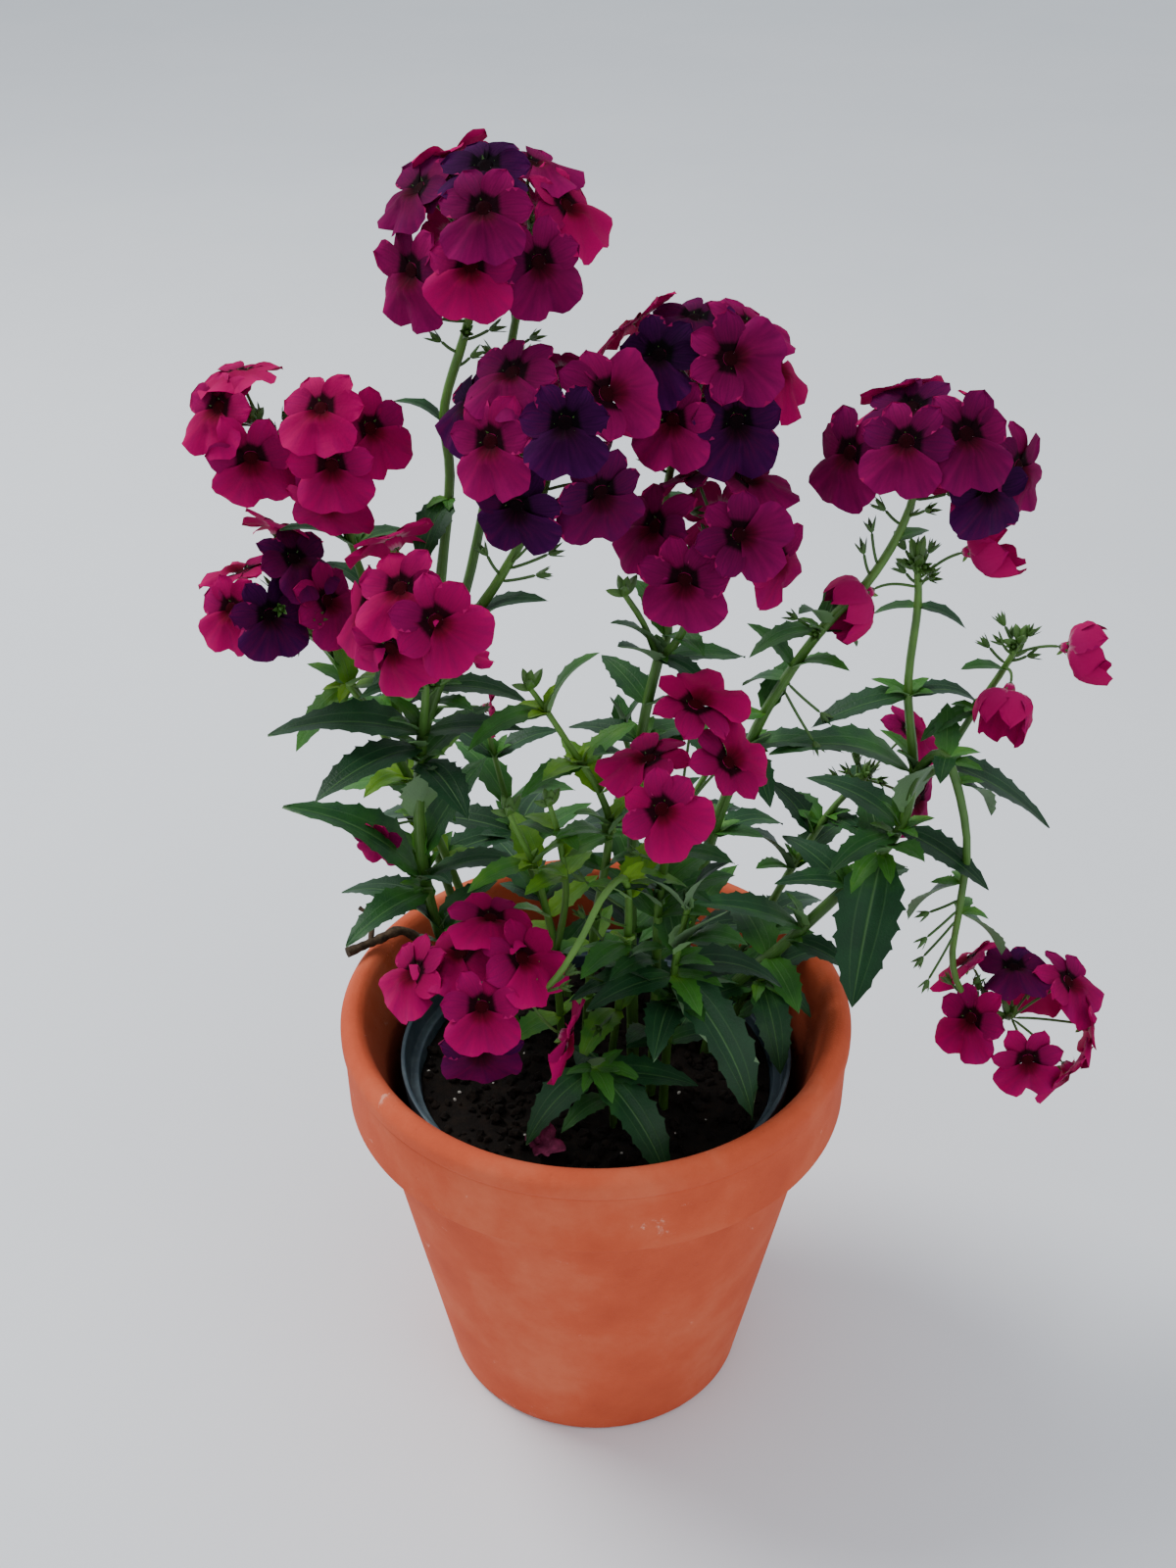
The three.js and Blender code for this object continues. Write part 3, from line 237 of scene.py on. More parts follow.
clayLook = {
    "tones": [(0.34, "#B84C2E"), (0.5, "#C25434"), (0.68, "#CA6444")], "mottleSize": 38.5,
    "salts": "#E8C6B2", "saltSize": 20.8,
    "saltReach": {1: 0.63, 2: 0.7, 3: 0.0, 4: 0.5},  # from which peak of the noise salts show, and how much
    # painted shade for the inside of the pot's wall
    "paintedShade": "#4A2415",
    "gritSize": 0.7, "pitSpacing": 6.25, "pitDepth": {1: 0.0, 2: 0.12, 3: -2.0, 4: 0.0},
    "rough": 0.88, "gloss": 0.25, "relief": 0.35, "depth": 0.5,
}


# Unglazed clay: mottled orange, pale dusty patches of dried salts, a fine gritty surface, and painted shade
# on the inside of the wall
def clayMaterial():
    material, tree, spot = newMaterial("firedClay")
    mottle = addNode(tree, "TexNoise", {"Scale": scaleOf(clayLook["mottleSize"]), "Detail": 8,
                                        "Roughness": 0.62}, {"Vector": spot})
    body = addNode(tree, "ValToRGB", links={0: mottle}, stops=clayLook["tones"])
    salts = addNode(tree, "TexNoise", {"Scale": scaleOf(clayLook["saltSize"]), "Detail": 10,
                                       "Roughness": 0.78, "Distortion": 0.9}, {"Vector": spot})
    patch = addNode(tree, "MapRange", clayLook["saltReach"], {0: salts})
    blend = addNode(tree, "Mix", {7: colour(clayLook["salts"])}, {0: patch, 6: body}, data_type="RGBA")
    # painted shade: the tone that the pot gives the inside of its wall darkens the clay there
    inside = addNode(tree, "Attribute", attribute_name="tone")
    shade = addNode(tree, "Mix", {7: colour(clayLook["paintedShade"])},
                    {0: inside.outputs["Fac"], 6: blend.outputs[2]}, data_type="RGBA")
    grit = addNode(tree, "TexNoise", {"Scale": scaleOf(clayLook["gritSize"]), "Detail": 4}, {"Vector": spot})
    pits = addNode(tree, "TexVoronoi", {"Scale": scaleOf(clayLook["pitSpacing"])}, {"Vector": spot})
    hole = addNode(tree, "MapRange", clayLook["pitDepth"], {0: pits.outputs["Distance"]})
    height = addNode(tree, "Math", links={0: grit, 1: hole}, operation="ADD")
    finishMaterial(tree, shade.outputs[2], height, clayLook)
    return material


# Moulded plastic and other dull stuffs: one mottle each, from dark to light, of a size in mm
def dullMaterial(name, stops, size, look):
    material, tree, spot = newMaterial(name)
    mottle = addNode(tree, "TexNoise", {"Scale": scaleOf(size), "Detail": 6, "Roughness": look["ragged"]},
                     {"Vector": spot})
    body = addNode(tree, "ValToRGB", links={0: mottle}, stops=stops)
    finishMaterial(tree, body, mottle if "relief" in look else None, look)
    return material


plastic = {"ragged": 0.7, "rough": 0.5, "gloss": 0.5}
crumbly = {"ragged": 0.65, "rough": 0.95, "gloss": 0.2, "relief": 0.6, "depth": 1}
eyesAndShade = {  # what multiplies a petal's dye from the throat (0) to its rim (1): the dark eye, then a fade to the rim that is partly the petal's own paler rim and partly painted shade towards its base
    "upper": [(0.1, "#35162F"), (0.24, "#401A38"), (0.34, "#C8B4C0"), (0.95, "#FFFFFF")],
    "lip": [(0.06, "#5A2038"), (0.2, "#985270"), (0.36, "#CDB8C0"), (0.95, "#FFFFFF")],
    # the throat's cap: partly the eye's own dark colour, partly painted shade of the tube's opening
    "throat": [(0, "#3A1030"), (1, "#5A1430")],
}
upperPetal = petalMaterial("upperPetal", eyesAndShade["upper"])
lipPetal = petalMaterial("lipPetal", eyesAndShade["lip"])
throatDarkAndShade = petalMaterial("throatDarkAndShade", eyesAndShade["throat"])
petalBack = petalBackMaterial()
leafTop = leafMaterial("leafTop", 0.0)
leafUnder = leafMaterial("leafUnder", 0.45)
stemGreen = stemMaterial()
firedClay = clayMaterial()
# Slate plastic under a little dust, moist peat, dry bark, white perlite, a shrunken petal and a matt floor
slatePlastic = dullMaterial("slatePlastic", [(0.45, "#34454F"), (0.8, "#5D6C72")], 16.7, plastic)
darkPeat = dullMaterial("darkPeat", [(0, "#060403"), (0.45, "#120C08"), (0.75, "#20160E"), (1, "#3A2A1B")], 5,
                        {**crumbly, "depth": 2})
dryBark = dullMaterial("dryBark", [(0.3, "#1E1611"), (0.7, "#5A4836")], 3, crumbly)
perlite = dullMaterial("perlite", [(0.3, "#A9A398"), (0.7, "#D8D4CA")], 2, crumbly)
wiltedPetal = dullMaterial("wiltedPetal", [(0.3, "#3A0A24"), (0.7, "#8C3058")], 3, {**crumbly, "rough": 0.8})
paleFloor = dullMaterial("paleFloor", [(0.3, "#E2E5E8"), (0.7, "#E8EAEC")], 400,
                         {**crumbly, "rough": 0.9, "depth": 0.1})
print("materials made")


def newMesh():  # a piece in the making, in mm, with a tone for each point
    bm = bmesh.new()
    bm.loops.layers.uv.new("UVMap")
    bm.verts.layers.float.new("tone")
    return bm


sheetHolder = bpy.data.meshes.new("sheetHolder")  # one sheet at a time passes through it into its piece
sheetShape = {
    "weld": 0.001,
    "sharp": 1.2,  # edges bent further than this, in radians, are shaded sharp
    "thinFoot": 0.12, "thinTip": 0.1,  # shares of the length over which a sheet thins out to nothing
}


# A closed flat tube: its front is the first half of the turn and its back the second, so that one grid
# makes a whole petal, leaf or stem. place gives the point at each share of the turn and of the length.
def wrapSheet(bm, around, along, place, tone, materials):
    sheet = newMesh()
    tones = sheet.verts.layers.float["tone"]
    bmesh.ops.create_grid(sheet, x_segments=around, y_segments=along, size=1, calc_uvs=True)
    for face in sheet.faces:
        middle = face.calc_center_median()
        face.material_index = (materials(middle.y / 2 + 0.5) if callable(materials)
                               else materials[middle.x > 0])
        face.smooth = True
    for vert in sheet.verts:
        turn, v = vert.co.x / 2 + 0.5, vert.co.y / 2 + 0.5
        vert[tones] = tone(turn, v) if callable(tone) else tone
        vert.co = place(turn, v)
    bmesh.ops.remove_doubles(sheet, verts=sheet.verts, dist=sheetShape["weld"])
    sheet.to_mesh(sheetHolder)
    sheet.free()
    bm.from_mesh(sheetHolder)


# Writes a finished piece in metres, at the origin, and hands it to the frame
def finishPiece(bm, name, materials, nodes):
    for edge in bm.edges:
        if len(edge.link_faces) == 2 and edge.calc_face_angle(0) > sheetShape["sharp"]:
            edge.smooth = False
    for vert in bm.verts:
        vert.co = Vector((vert.co.x * mm + potAxisX, vert.co.y * mm, vert.co.z * mm))
    mesh = bpy.data.meshes.new(name)
    bm.to_mesh(mesh)
    bm.free()
    for material in materials:
        mesh.materials.append(material)
    piece = bpy.data.objects.new(name, mesh)
    bpy.context.scene.collection.objects.link(piece)
    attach(piece, "root")
    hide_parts(*nodes)


def acrossOf(turn):  # from -1 to 1 over the front of a sheet, and back again over its back
    return 4 * turn - 1 if turn <= 0.5 else 3 - 4 * turn


def backStep(turn, v, thickness):  # how far the back of a sheet lies behind its front, 0 at every rim
    if turn <= 0.5:
        return 0
    rim = math.sqrt(max(0, 1 - acrossOf(turn) ** 2))
    return -thickness * rim * min(1, v / sheetShape["thinFoot"], (1 - v) / sheetShape["thinTip"])


def curvePoint(route, t):  # a smooth curve through the points of a route
    points = [Vector(point) for point in route]
    points = [points[0] * 2 - points[1], *points, points[-1] * 2 - points[-2]]
    spans = len(route) - 1
    span = min(int(t * spans), spans - 1)
    f = t * spans - span
    before, start, end, after = points[span:span + 4]
    pull, push = (end - before) / 2, (after - start) / 2
    return (start * (2 * f ** 3 - 3 * f ** 2 + 1) + end * (3 * f ** 2 - 2 * f ** 3)
            + pull * (f ** 3 - 2 * f ** 2 + f) + push * (f ** 3 - f ** 2))


# Points along a route, with a ring just inside each end, where the tube closes
def ringedRoute(route, count, startShare, tipShare):
    points = [curvePoint(route, i / count) for i in range(count + 1)]
    return [points[0], points[0] + (points[1] - points[0]) * startShare, *points[1:-1],
            points[-1] + (points[-2] - points[-1]) * tipShare, points[-1]]


def bend(start, first, second, end, count):  # points along one Bezier curve
    return [start * (1 - f) ** 3 + first * (3 * f * (1 - f) ** 2) + second * (3 * f * f * (1 - f))
            + end * f ** 3 for f in [i / count for i in range(count + 1)]]


def framesOf(points):  # two axes square to a chain of points at each of them, without twist
    normal = Vector((0.31, 0.95, 0.05))
    frames = []
    for i, point in enumerate(points):
        tangent = (points[min(i + 1, len(points) - 1)] - points[max(i - 1, 0)]).normalized()
        normal = (normal - tangent * normal.dot(tangent)).normalized()
        frames.append((normal.copy(), tangent.cross(normal)))
    return frames


# A round closed tube along points; radiusAt gives its radius at each place from 0 to 1
def tube(bm, points, around, radiusAt, tone, material, lobes=4, lobing=0.05):
    frames = framesOf(points)
    last = len(points) - 1

    def place(turn, v):
        i = round(v * last)
        normal, side = frames[i]
        angle = turn * 2 * math.pi
        radius = radiusAt(i / last) * (1 + lobing * math.cos(lobes * angle))
        return points[i] + normal * (radius * math.cos(angle)) + side * (radius * math.sin(angle))

    wrapSheet(bm, around, last, place, tone, (material, material))


def bloomAxes(facing):  # the side, up and out of a bloom that looks along facing
    out = facing.normalized()
    up = Vector((0, 0, 1)) - out * out.z
    if up.length < 0.2:
        up = Vector((0, 1, 0)) - out * out.y
    up.normalize()
    return up.cross(out), up, out


def headingOf(azimuth, rise):  # the axes of a leaf or stalk: along it, to its side and up from its face
    turn, lift = math.radians(azimuth), math.radians(rise)
    along = Vector((math.cos(turn) * math.cos(lift), math.sin(turn) * math.cos(lift), math.sin(lift)))
    side = Vector((-math.sin(turn), math.cos(turn), 0))
    return along, side, along.cross(side)


greenMaterials = [leafTop, leafUnder, stemGreen]
leafFaces, stemFace = (0, 1), 2
petalMaterials = [upperPetal, lipPetal, petalBack, throatDarkAndShade, stemGreen]
upperFaces, lipFaces, funnelFace, throatFace, spurFace = (0, 2), (1, 2), 2, 3, 4

leafShape = {
    "thickness": 0.55,
    "halfWidth": 0.15, "halfWidthRange": 0.03, "leastHalfWidth": 0.6,  # shares of its length, and mm
    "arch": 0.05, "archRange": 0.1, "ripple": 0.03,
    "fold": 0.34,  # how much the halves rise for their width
    "largeLength": 33, "teethLarge": 5, "teethSmall": 4,
    "tinyLength": 19, "teethTiny": 2,
    "teethFrom": 0.2, "teethOver": 0.65,  # the part of the margin that has teeth
    "toothDepth": 0.42,
    "columns": 4,  # quads from the midrib to the margin
    "tinyColumns": 3,
}


# A lance-shaped leaf with small forward teeth, folded along its midrib and arched over its chord
def leafBlade(bm, root, azimuth, rise, length, tone):
    along, side, up = headingOf(azimuth, rise)
    halfWidth = length * (leafShape["halfWidth"] + leafShape["halfWidthRange"] * draw(azimuth, length))
    halfWidth += leafShape["leastHalfWidth"]
    arch = length * (leafShape["arch"] + leafShape["archRange"] * draw(length, azimuth))
    ripple = leafShape["ripple"] * length * (draw(azimuth, rise) - 0.3)
    tiny = length < leafShape["tinyLength"]
    teeth = leafShape["teethLarge"] if length > leafShape["largeLength"] else leafShape["teethSmall"]
    teeth = leafShape["teethTiny"] if tiny else teeth
    rows = [(0, 0), (0.05, 0), (0.13, 0)]  # the place along the leaf and the tooth's reach at each row
    for k in range(teeth):
        start = leafShape["teethFrom"] + leafShape["teethOver"] * k / teeth
        step = leafShape["teethOver"] / teeth
        rows += [(start, -0.5), (start + step * 0.55, 0.1), (start + step * 0.93, 0.9)]
    rows += [(0.87, -0.4), (0.94, 0), (1, 0)]

    def place(turn, v):
        t, tooth = rows[round(v * (len(rows) - 1))]
        across = acrossOf(turn)
        body = halfWidth * (t ** 0.5) * ((1 - t) ** 0.85) / 0.425
        y = body * across
        if abs(across) > 0.99:
            y += math.copysign(tooth * leafShape["toothDepth"] * halfWidth * (1.1 - t), across)
        z = leafShape["fold"] * abs(y) * (1 - 0.35 * abs(across)) + arch * 4 * t * (1 - t)
        z += ripple * math.sin(9 * t + 2 * across) * across ** 2 * (t > 0)
        z += backStep(turn, t, leafShape["thickness"])
        return root + along * (t * length) + side * y + up * z

    wrapSheet(bm, leafShape["tinyColumns" if tiny else "columns"] * 4, len(rows) - 1, place, tone, leafFaces)


calyxShape = {
    "sepals": 5, "length": 5.2, "shortest": 0.9, "range": 0.25, "halfWidth": 0.75, "thickness": 0.35,
    "cup": 0.5,  # radius at the sepals' feet
    "sink": 0.3,  # how far they start below the stalk's end
    "around": 8, "rows": 4,
}


# Five narrow pointed sepals in a cup round a stalk's end
def calyx(bm, base, axes, size, spread, tone):
    side, up, out = axes
    for k in range(calyxShape["sepals"]):
        angle = (k + 0.5) * 2 * math.pi / calyxShape["sepals"]
        away = side * math.cos(angle) + up * math.sin(angle)
        cross = away.cross(out)
        uneven = calyxShape["shortest"] + calyxShape["range"] * draw(k, base.x)
        length = calyxShape["length"] * size * uneven

        def place(turn, v):
            width = calyxShape["halfWidth"] * size * math.sin(math.pi * v ** 0.7) ** 0.8 if 0 < v < 1 else 0
            lift = calyxShape["cup"] * size + length * math.sin(spread) * v ** 1.3
            inward = backStep(turn, v, calyxShape["thickness"] * size)
            return (base + out * (length * math.cos(spread) * v - calyxShape["sink"]) + away * (lift - inward)
                    - cross * (width * acrossOf(turn)))

        wrapSheet(bm, calyxShape["around"], calyxShape["rows"], place, tone, (stemFace, stemFace))


budShape = {
    "rows": 7, "around": 8, "lobing": 0.12,
    "radius": 1.4, "shortest": 0.85, "range": 0.3,
    "turn": 137.5,  # from each bud to the next, as most plants have it
    "steepest": 80, "fall": 75,  # the first bud's rise, and how much less the last one has
    "calyx": 0.62, "calyxSpread": 0.3,
}


# A pointed oval form: a bud, a seed case or the spur of a bloom
def spindle(bm, start, axis, length, radius, tone, material=stemFace, lobes=4):
    rows = budShape["rows"]
    points = [start + axis * (length * i / rows) for i in range(rows + 1)]
    tube(bm, points, budShape["around"],
         lambda v: radius * math.sin(math.pi * v ** 0.8) ** 0.75 if 0 < v < 1 else 0, tone, material, lobes,
         budShape["lobing"])


stemShape = {
    "around": 8, "step": 6.5,  # mm from ring to ring
    "startShare": 0.02, "tipShare": 0.05,  # how near to its ends a stem is closed
    "swell": 0.12,  # how much thicker a ring may be than the stem
    "stalkRadius": 0.5, "stalkAround": 6, "stalkRings": 7,
    "neck": 4.5,  # how far before a stalk's end its calyx begins
    "calyx": 0.95, "calyxSpread": 0.35,
    "seedLength": 2.6, "seedRange": 1.6, "seedRadius": 0.9,
}


def stemTube(bm, route, foot, tip, tone):  # a stem that thins from foot to tip, with uneven rings
    length = sum((Vector(b) - Vector(a)).length for a, b in zip(route, route[1:]))
    points = ringedRoute(route, max(6, round(length / stemShape["step"])), stemShape["startShare"],
                         stemShape["tipShare"])
    last = len(points) - 1
    swell = {i: stemShape["swell"] * draw(i, foot) for i in range(last)}
    tube(bm, points, stemShape["around"],
         lambda v: 0 if v in (0, 1) else (foot + (tip - foot) * v) * (1 + swell[round(v * last)]), tone,
         stemFace)


def stalkTube(bm, points, tone):
    tube(bm, points, stemShape["stalkAround"], lambda v: 0 if v in (0, 1) else stemShape["stalkRadius"], tone,
         stemFace)


# A thin stalk with an empty or budding calyx at its end
def calyxStalk(bm, root, azimuth, rise, length, tone):
    along, side, up = headingOf(azimuth, rise)
    neck = root + along * (length - stemShape["neck"])
    stalkTube(bm, bend(root, root + along * (length * 0.35) - up * 0.8, neck - along * 2, neck,
                       stemShape["stalkRings"]), tone)
    calyx(bm, neck, bloomAxes(along), stemShape["calyx"], stemShape["calyxSpread"], tone)
    seed = stemShape["seedLength"] + stemShape["seedRange"] * draw(length, azimuth)
    spindle(bm, neck - along * 0.4, along, seed, stemShape["seedRadius"], tone + 0.1)


# The i-th green bud of the cluster at a stem's tip
def budAtTip(bm, route, i, count, length):
    root = curvePoint(route, 1 - 0.005 * i)
    along, side, up = headingOf(i * budShape["turn"], budShape["steepest"] - budShape["fall"] * i / count)
    full = length * (budShape["shortest"] + budShape["range"] * draw(i, count))
    spindle(bm, root - along * 0.5, along, full + 0.5, budShape["radius"], 0.5)
    calyx(bm, root + along * 0.6, bloomAxes(along), budShape["calyx"], budShape["calyxSpread"], 0.4)


bloomShape = {  # lengths are shares of the bloom's radius, angles are in degrees
    "radius": 12,  # mm
    "spread": 1.18,  # an open bloom's petals against the solid's radius
    "young": 0.5,  # petals cupped further than this, in radians, make a closed young bloom
    "youngSpread": 1.6, "youngCurl": 0.3, "youngWiden": 1.4,
    "youngBulge": 0.28,  # how far a closed bloom swells outwards, like a pouch
    "back": -0.34,  # where the calyx begins behind the face
    "thickness": 0.035,
    "upper": [(60, 0.96, 0.31, -0.17), (120, 0.96, 0.31, -0.17), (9, 0.95, 0.35, -0.1),
              (171, 0.95, 0.35, -0.1)],  # angle, reach, half width and lean of the four upper petals
    "upperTurn": 7, "upperLean": 0.36, "upperRoll": 0.5,  # how far each petal may differ
    "upperRuffle": 0.05, "upperTone": 0.26, "upperGrid": (12, 7),
    "lipSpread": 71, "lipLength": 1.12, "lipDroop": -0.16, "lipTilt": 0.12,
    "notch": 0.17, "notchWidth": 0.13,
    "palate": 0.15, "palatePlace": 0.3,  # the raised cushion in front of the throat
    "lipWave": 0.1, "lipRuffle": 0.03, "lipGrid": (40, 8),
    "funnelAround": 12, "funnelTo": 0.6,
    "spurLength": 0.36, "spurRadius": 0.075,
}


# A petal's flat place and height on a bloom of radius 1, cupped forward for a young bloom
def onBloom(centre, axes, radius, cup, x, y, height):
    side, up, out = axes
    distance = math.hypot(x, y)
    heading = (side * x + up * y) / distance if distance > 1e-6 else side
    return centre + (heading * (distance * math.cos(cup) - height * math.sin(cup))
                     + out * (distance * math.sin(cup) + height * math.cos(cup))) * radius


def bulgeOf(cup, v):  # how far a closed petal swells outwards at each place along it
    return bloomShape["youngBulge"] * math.sin(math.pi * v) if cup > bloomShape["young"] else 0


# The two upper and two side petals, the side ones a little in front
def upperPetals(bm, centre, axes, radius, seed, tone, cup):
    for k, (angle, reach, halfWidth, lean) in enumerate(bloomShape["upper"]):
        turned = math.radians(angle + bloomShape["upperTurn"] * (draw(seed, k) - 0.5))
        long = reach * (0.94 + 0.12 * draw(k, seed))
        wide = halfWidth * (0.92 + 0.16 * draw(seed + 1, k))
        wide *= bloomShape["youngWiden"] if cup > bloomShape["young"] else 1
        lean += bloomShape["upperLean"] * (draw(k, seed + 2) - 0.5)
        if cup >= bloomShape["young"]:
            lean = bloomShape["youngCurl"]
        roll = bloomShape["upperRoll"] * (draw(seed + 4, k) - 0.5)
        phase = 6.3 * draw(k, seed + 5)
        layer = -0.05 + 0.025 * (k > 1)

        def place(turn, v):
            across = acrossOf(turn)
            width = wide * math.sin(math.pi * v ** 1.357) ** 0.52 if 0 < v < 1 else 0
            x, y = 0.06 + v * (long - 0.06), width * across
            height = layer * min(1, 4 * v) + lean * v ** 2.2 + 0.1 * (across ** 2) * v * (1 - v)
            ruffle = bloomShape["upperRuffle"] * math.sin(5 * across + 7 * v + phase) * v * abs(across)
            height += roll * y * v + ruffle
            height -= 0.1 * (1 - v) ** 6 + bulgeOf(cup, v)
            height += backStep(turn, v, bloomShape["thickness"])
            return onBloom(centre, axes, radius, cup, x * math.cos(turned) + y * math.sin(turned),
                           x * math.sin(turned) - y * math.cos(turned), height)

        ownTone = tone + bloomShape["upperTone"] * (draw(seed + 3, k) - 0.5)
        wrapSheet(bm, *bloomShape["upperGrid"], place, ownTone, upperFaces)


# The broad lip: a fan with a small notch, ruffled at its rim and raised where it meets the throat
def lip(bm, centre, axes, radius, seed, tone, cup):
    phase, tilt = 6.3 * draw(seed, 9), bloomShape["lipTilt"] * (draw(9, seed) - 0.5)
    spread = math.radians(bloomShape["lipSpread"] * (0.95 + 0.1 * draw(seed, 8)))
    droop = bloomShape["lipDroop"] if cup < bloomShape["young"] else bloomShape["youngCurl"]

    def place(turn, v):
        across = acrossOf(turn)
        notch = math.exp(-(across / bloomShape["notchWidth"]) ** 2)
        reach = bloomShape["lipLength"] - bloomShape["notch"] * notch
        reach -= 0.4 * abs(across) ** 6
        reach += 0.02 * math.sin(17 * across + phase)
        distance = 0.05 + v * reach
        angle = math.radians(270) - spread * across
        palate = bloomShape["palate"] * math.exp(-((v - bloomShape["palatePlace"]) / 0.13) ** 2)
        palate *= math.exp(-(across / 0.55) ** 2)
        height = 0.1 * v + palate + droop * v ** 3 + tilt * across * v - 0.1 * (1 - v) ** 6
        wave = bloomShape["lipWave"] * v ** 2.5 * math.sin(9.5 * across + phase)
        height += wave + bloomShape["lipRuffle"] * v ** 5 * math.sin(21 * across + phase)
        height -= 0.16 * across ** 4 * v ** 2 + bulgeOf(cup, v)
        height += backStep(turn, v, bloomShape["thickness"])
        return onBloom(centre, axes, radius, cup, distance * math.cos(angle), distance * math.sin(angle),
                       height)

    wrapSheet(bm, *bloomShape["lipGrid"], place, tone, lipFaces)


# The funnel behind the petals, closed in front by a dark throat that is partly the eye's own dark colour and
# partly painted shade where the tube opens, with a short spur below it
def throat(bm, centre, axes, radius, tone):
    side, up, out = axes
    back = bloomShape["back"]
    rings = [(back, 0.02), (back, 0.14), (-0.26, 0.18), (-0.15, 0.22), (-0.075, 0.2), (-0.06, 0.12),
             (-0.1, 0.02)]
    points = [centre + out * (height * radius) for height, wide in rings]

    def place(turn, v):
        i = round(v * (len(rings) - 1))
        angle = turn * 2 * math.pi
        wide = 0 if v in (0, 1) else rings[i][1] * radius
        return points[i] + (side * math.cos(angle) + up * math.sin(angle)) * wide

    wrapSheet(bm, bloomShape["funnelAround"], len(rings) - 1, place, tone,
              lambda v: funnelFace if v < bloomShape["funnelTo"] else throatFace)
    start = centre + out * (back * 0.55 * radius) - up * (0.1 * radius)
    spindle(bm, start, (-up * 0.75 - out * 0.65).normalized(), bloomShape["spurLength"] * radius,
            bloomShape["spurRadius"] * radius, tone, spurFace, 2)


stemRoutes = {  # the points of each stem from its foot or fork, and its radius at the foot and tip
    "left": ([(-36, 12, 104), (-40, 11, 130), (-48, 8, 158), (-56, 0, 199), (-58, -8, 236),
        (-55, -14, 276), (-50, -10, 296), (-48, -4, 323), (-44, 2, 357), (-45, 4, 378),
        (-38, 6, 401), (-30, 8, 430)], 2.3, 1.1),
    "leftBack": ([(-50, -10, 296), (-40, 10, 320), (-30, 20, 367), (-25, 20, 395), (-18, 16, 428)], 1.6, 1.0),
    "leftFront": ([(-55, -14, 276), (-47, -22, 303), (-38, -26, 323), (-28, -26, 339),
        (-17, -24, 360), (-11, -20, 382)], 1.7, 1.0),
    "leftShort": ([(-55, -14, 276), (-52, -26, 298), (-50, -34, 322)], 1.4, 1.0),
    "farLeft": ([(-30, 25, 104), (-34, 26, 130), (-49, 30, 172), (-63, 28, 236), (-70, 16, 300),
        (-75, 8, 331), (-76, 2, 354), (-76, -3, 370)], 1.9, 1.0),
    "farLeftFork": ([(-75, 8, 331), (-83, 12, 350), (-91, 10, 364), (-102, 6, 374)], 1.2, 0.9),
    "lowLeft": ([(-24, 20, 104), (-29, 21, 130), (-45, 22, 182), (-62, 15, 241), (-80, 6, 287),
        (-88, 0, 305), (-98, -2, 318)], 1.9, 1.0),
    "lowLeftFork": ([(-62, 15, 241), (-71, 6, 269), (-79, 0, 288)], 1.3, 0.9),
    "middle": ([(14, 2, 104), (13, -2, 150), (12, -4, 189), (12, -6, 231), (14, -6, 271),
        (19, -6, 300), (22, 0, 308), (20, 8, 331), (22, 10, 356), (29, 9, 382)], 2.1, 1.0),
    "middleFront": ([(19, -6, 300), (25, -12, 311), (31, -12, 328), (36, -10, 345)], 1.3, 0.9),
    "middleBuds": ([(19, -6, 300), (14, -12, 316), (8, -16, 328)], 1.2, 0.8),
    "middleSprig": ([(12, -6, 231), (13, 3, 250), (10, 6, 262), (8, 6, 268)], 1.2, 0.8),
    "rightMiddle": ([(26, 15, 104), (28, 15, 130), (32, 18, 172), (40, 16, 220), (51, 12, 260),
        (60, 8, 284), (71, 4, 306), (84, 2, 324), (93, 2, 344), (97, 1, 368)], 2.2, 1.0),
    "right": ([(37, 10, 104), (41, 10, 130), (48, 8, 158), (66, 6, 180), (90, 6, 210),
        (102, 10, 224), (106, 12, 245), (101, 12, 279), (101, 10, 310), (99, 8, 327)], 2.4, 1.0),
    "rightFork": ([(106, 12, 243), (113, 12, 248), (117, 12, 256), (124, 12, 272), (130, 12, 284),
        (135, 10, 298)], 1.4, 0.9),
    "rightArch": ([(104, 12, 236), (107, 6, 253), (112, 0, 262), (118, -2, 250), (124, 0, 225),
        (125, 4, 196), (126, 8, 170), (134, 9, 152), (150, 9, 144)], 1.7, 1.0),
    "front": ([(18, -10, 104), (20, -12, 141), (20, -22, 186), (20, -28, 221), (22, -32, 245),
        (25, -38, 262)], 1.9, 1.0),
    "drooping": ([(2, -6, 104), (6, -12, 150), (10, -30, 209), (9, -40, 240), (2, -48, 240),
        (-6, -52, 224), (-16, -52, 207), (-30, -50, 200)], 1.3, 1.0),
    "frontShoot": ([(24, -16, 104), (24, -19, 140), (25, -27, 178), (26, -33, 205),
        (29, -37, 228)], 1.7, 0.9),
    "frontLowShoot": ([(7, -24, 104), (6, -28, 130), (4, -36, 150), (-1, -41, 165)], 1.5, 0.9),
    "budShoot": ([(-4, 6, 104), (-4, 4, 130), (-1, -9, 194), (4, -16, 240), (1, -16, 257),
        (-8, -18, 275), (-16, -19, 290), (-21, -19, 298)], 1.6, 0.8),
    "lowShoot": ([(-12, 2, 104), (-12, 0, 135), (-14, -14, 190), (-19, -21, 228), (-24, -23, 244),
        (-28, -25, 256)], 1.5, 0.8),
    "lowShootFork": ([(-14, -14, 190), (-10, -21, 220), (-12, -24, 245), (-15, -26, 260)], 1.2, 0.8),
    "rightShoot": ([(46, 20, 104), (48, 17, 130), (54, 12, 152), (62, 4, 170)], 1.7, 0.9),
    "backRight": ([(32, 30, 104), (36, 31, 125), (55, 36, 155), (70, 37, 189), (84, 39, 215),
        (96, 41, 228)], 1.8, 0.9),
    "back": ([(10, 36, 104), (13, 38, 125), (19, 45, 152), (29, 50, 197), (45, 52, 233)], 1.8, 0.9),
    "backLeft": ([(-8, 40, 104), (-10, 42, 125), (-18, 50, 160), (-30, 52, 200), (-38, 50, 240)], 1.8, 0.9),
}

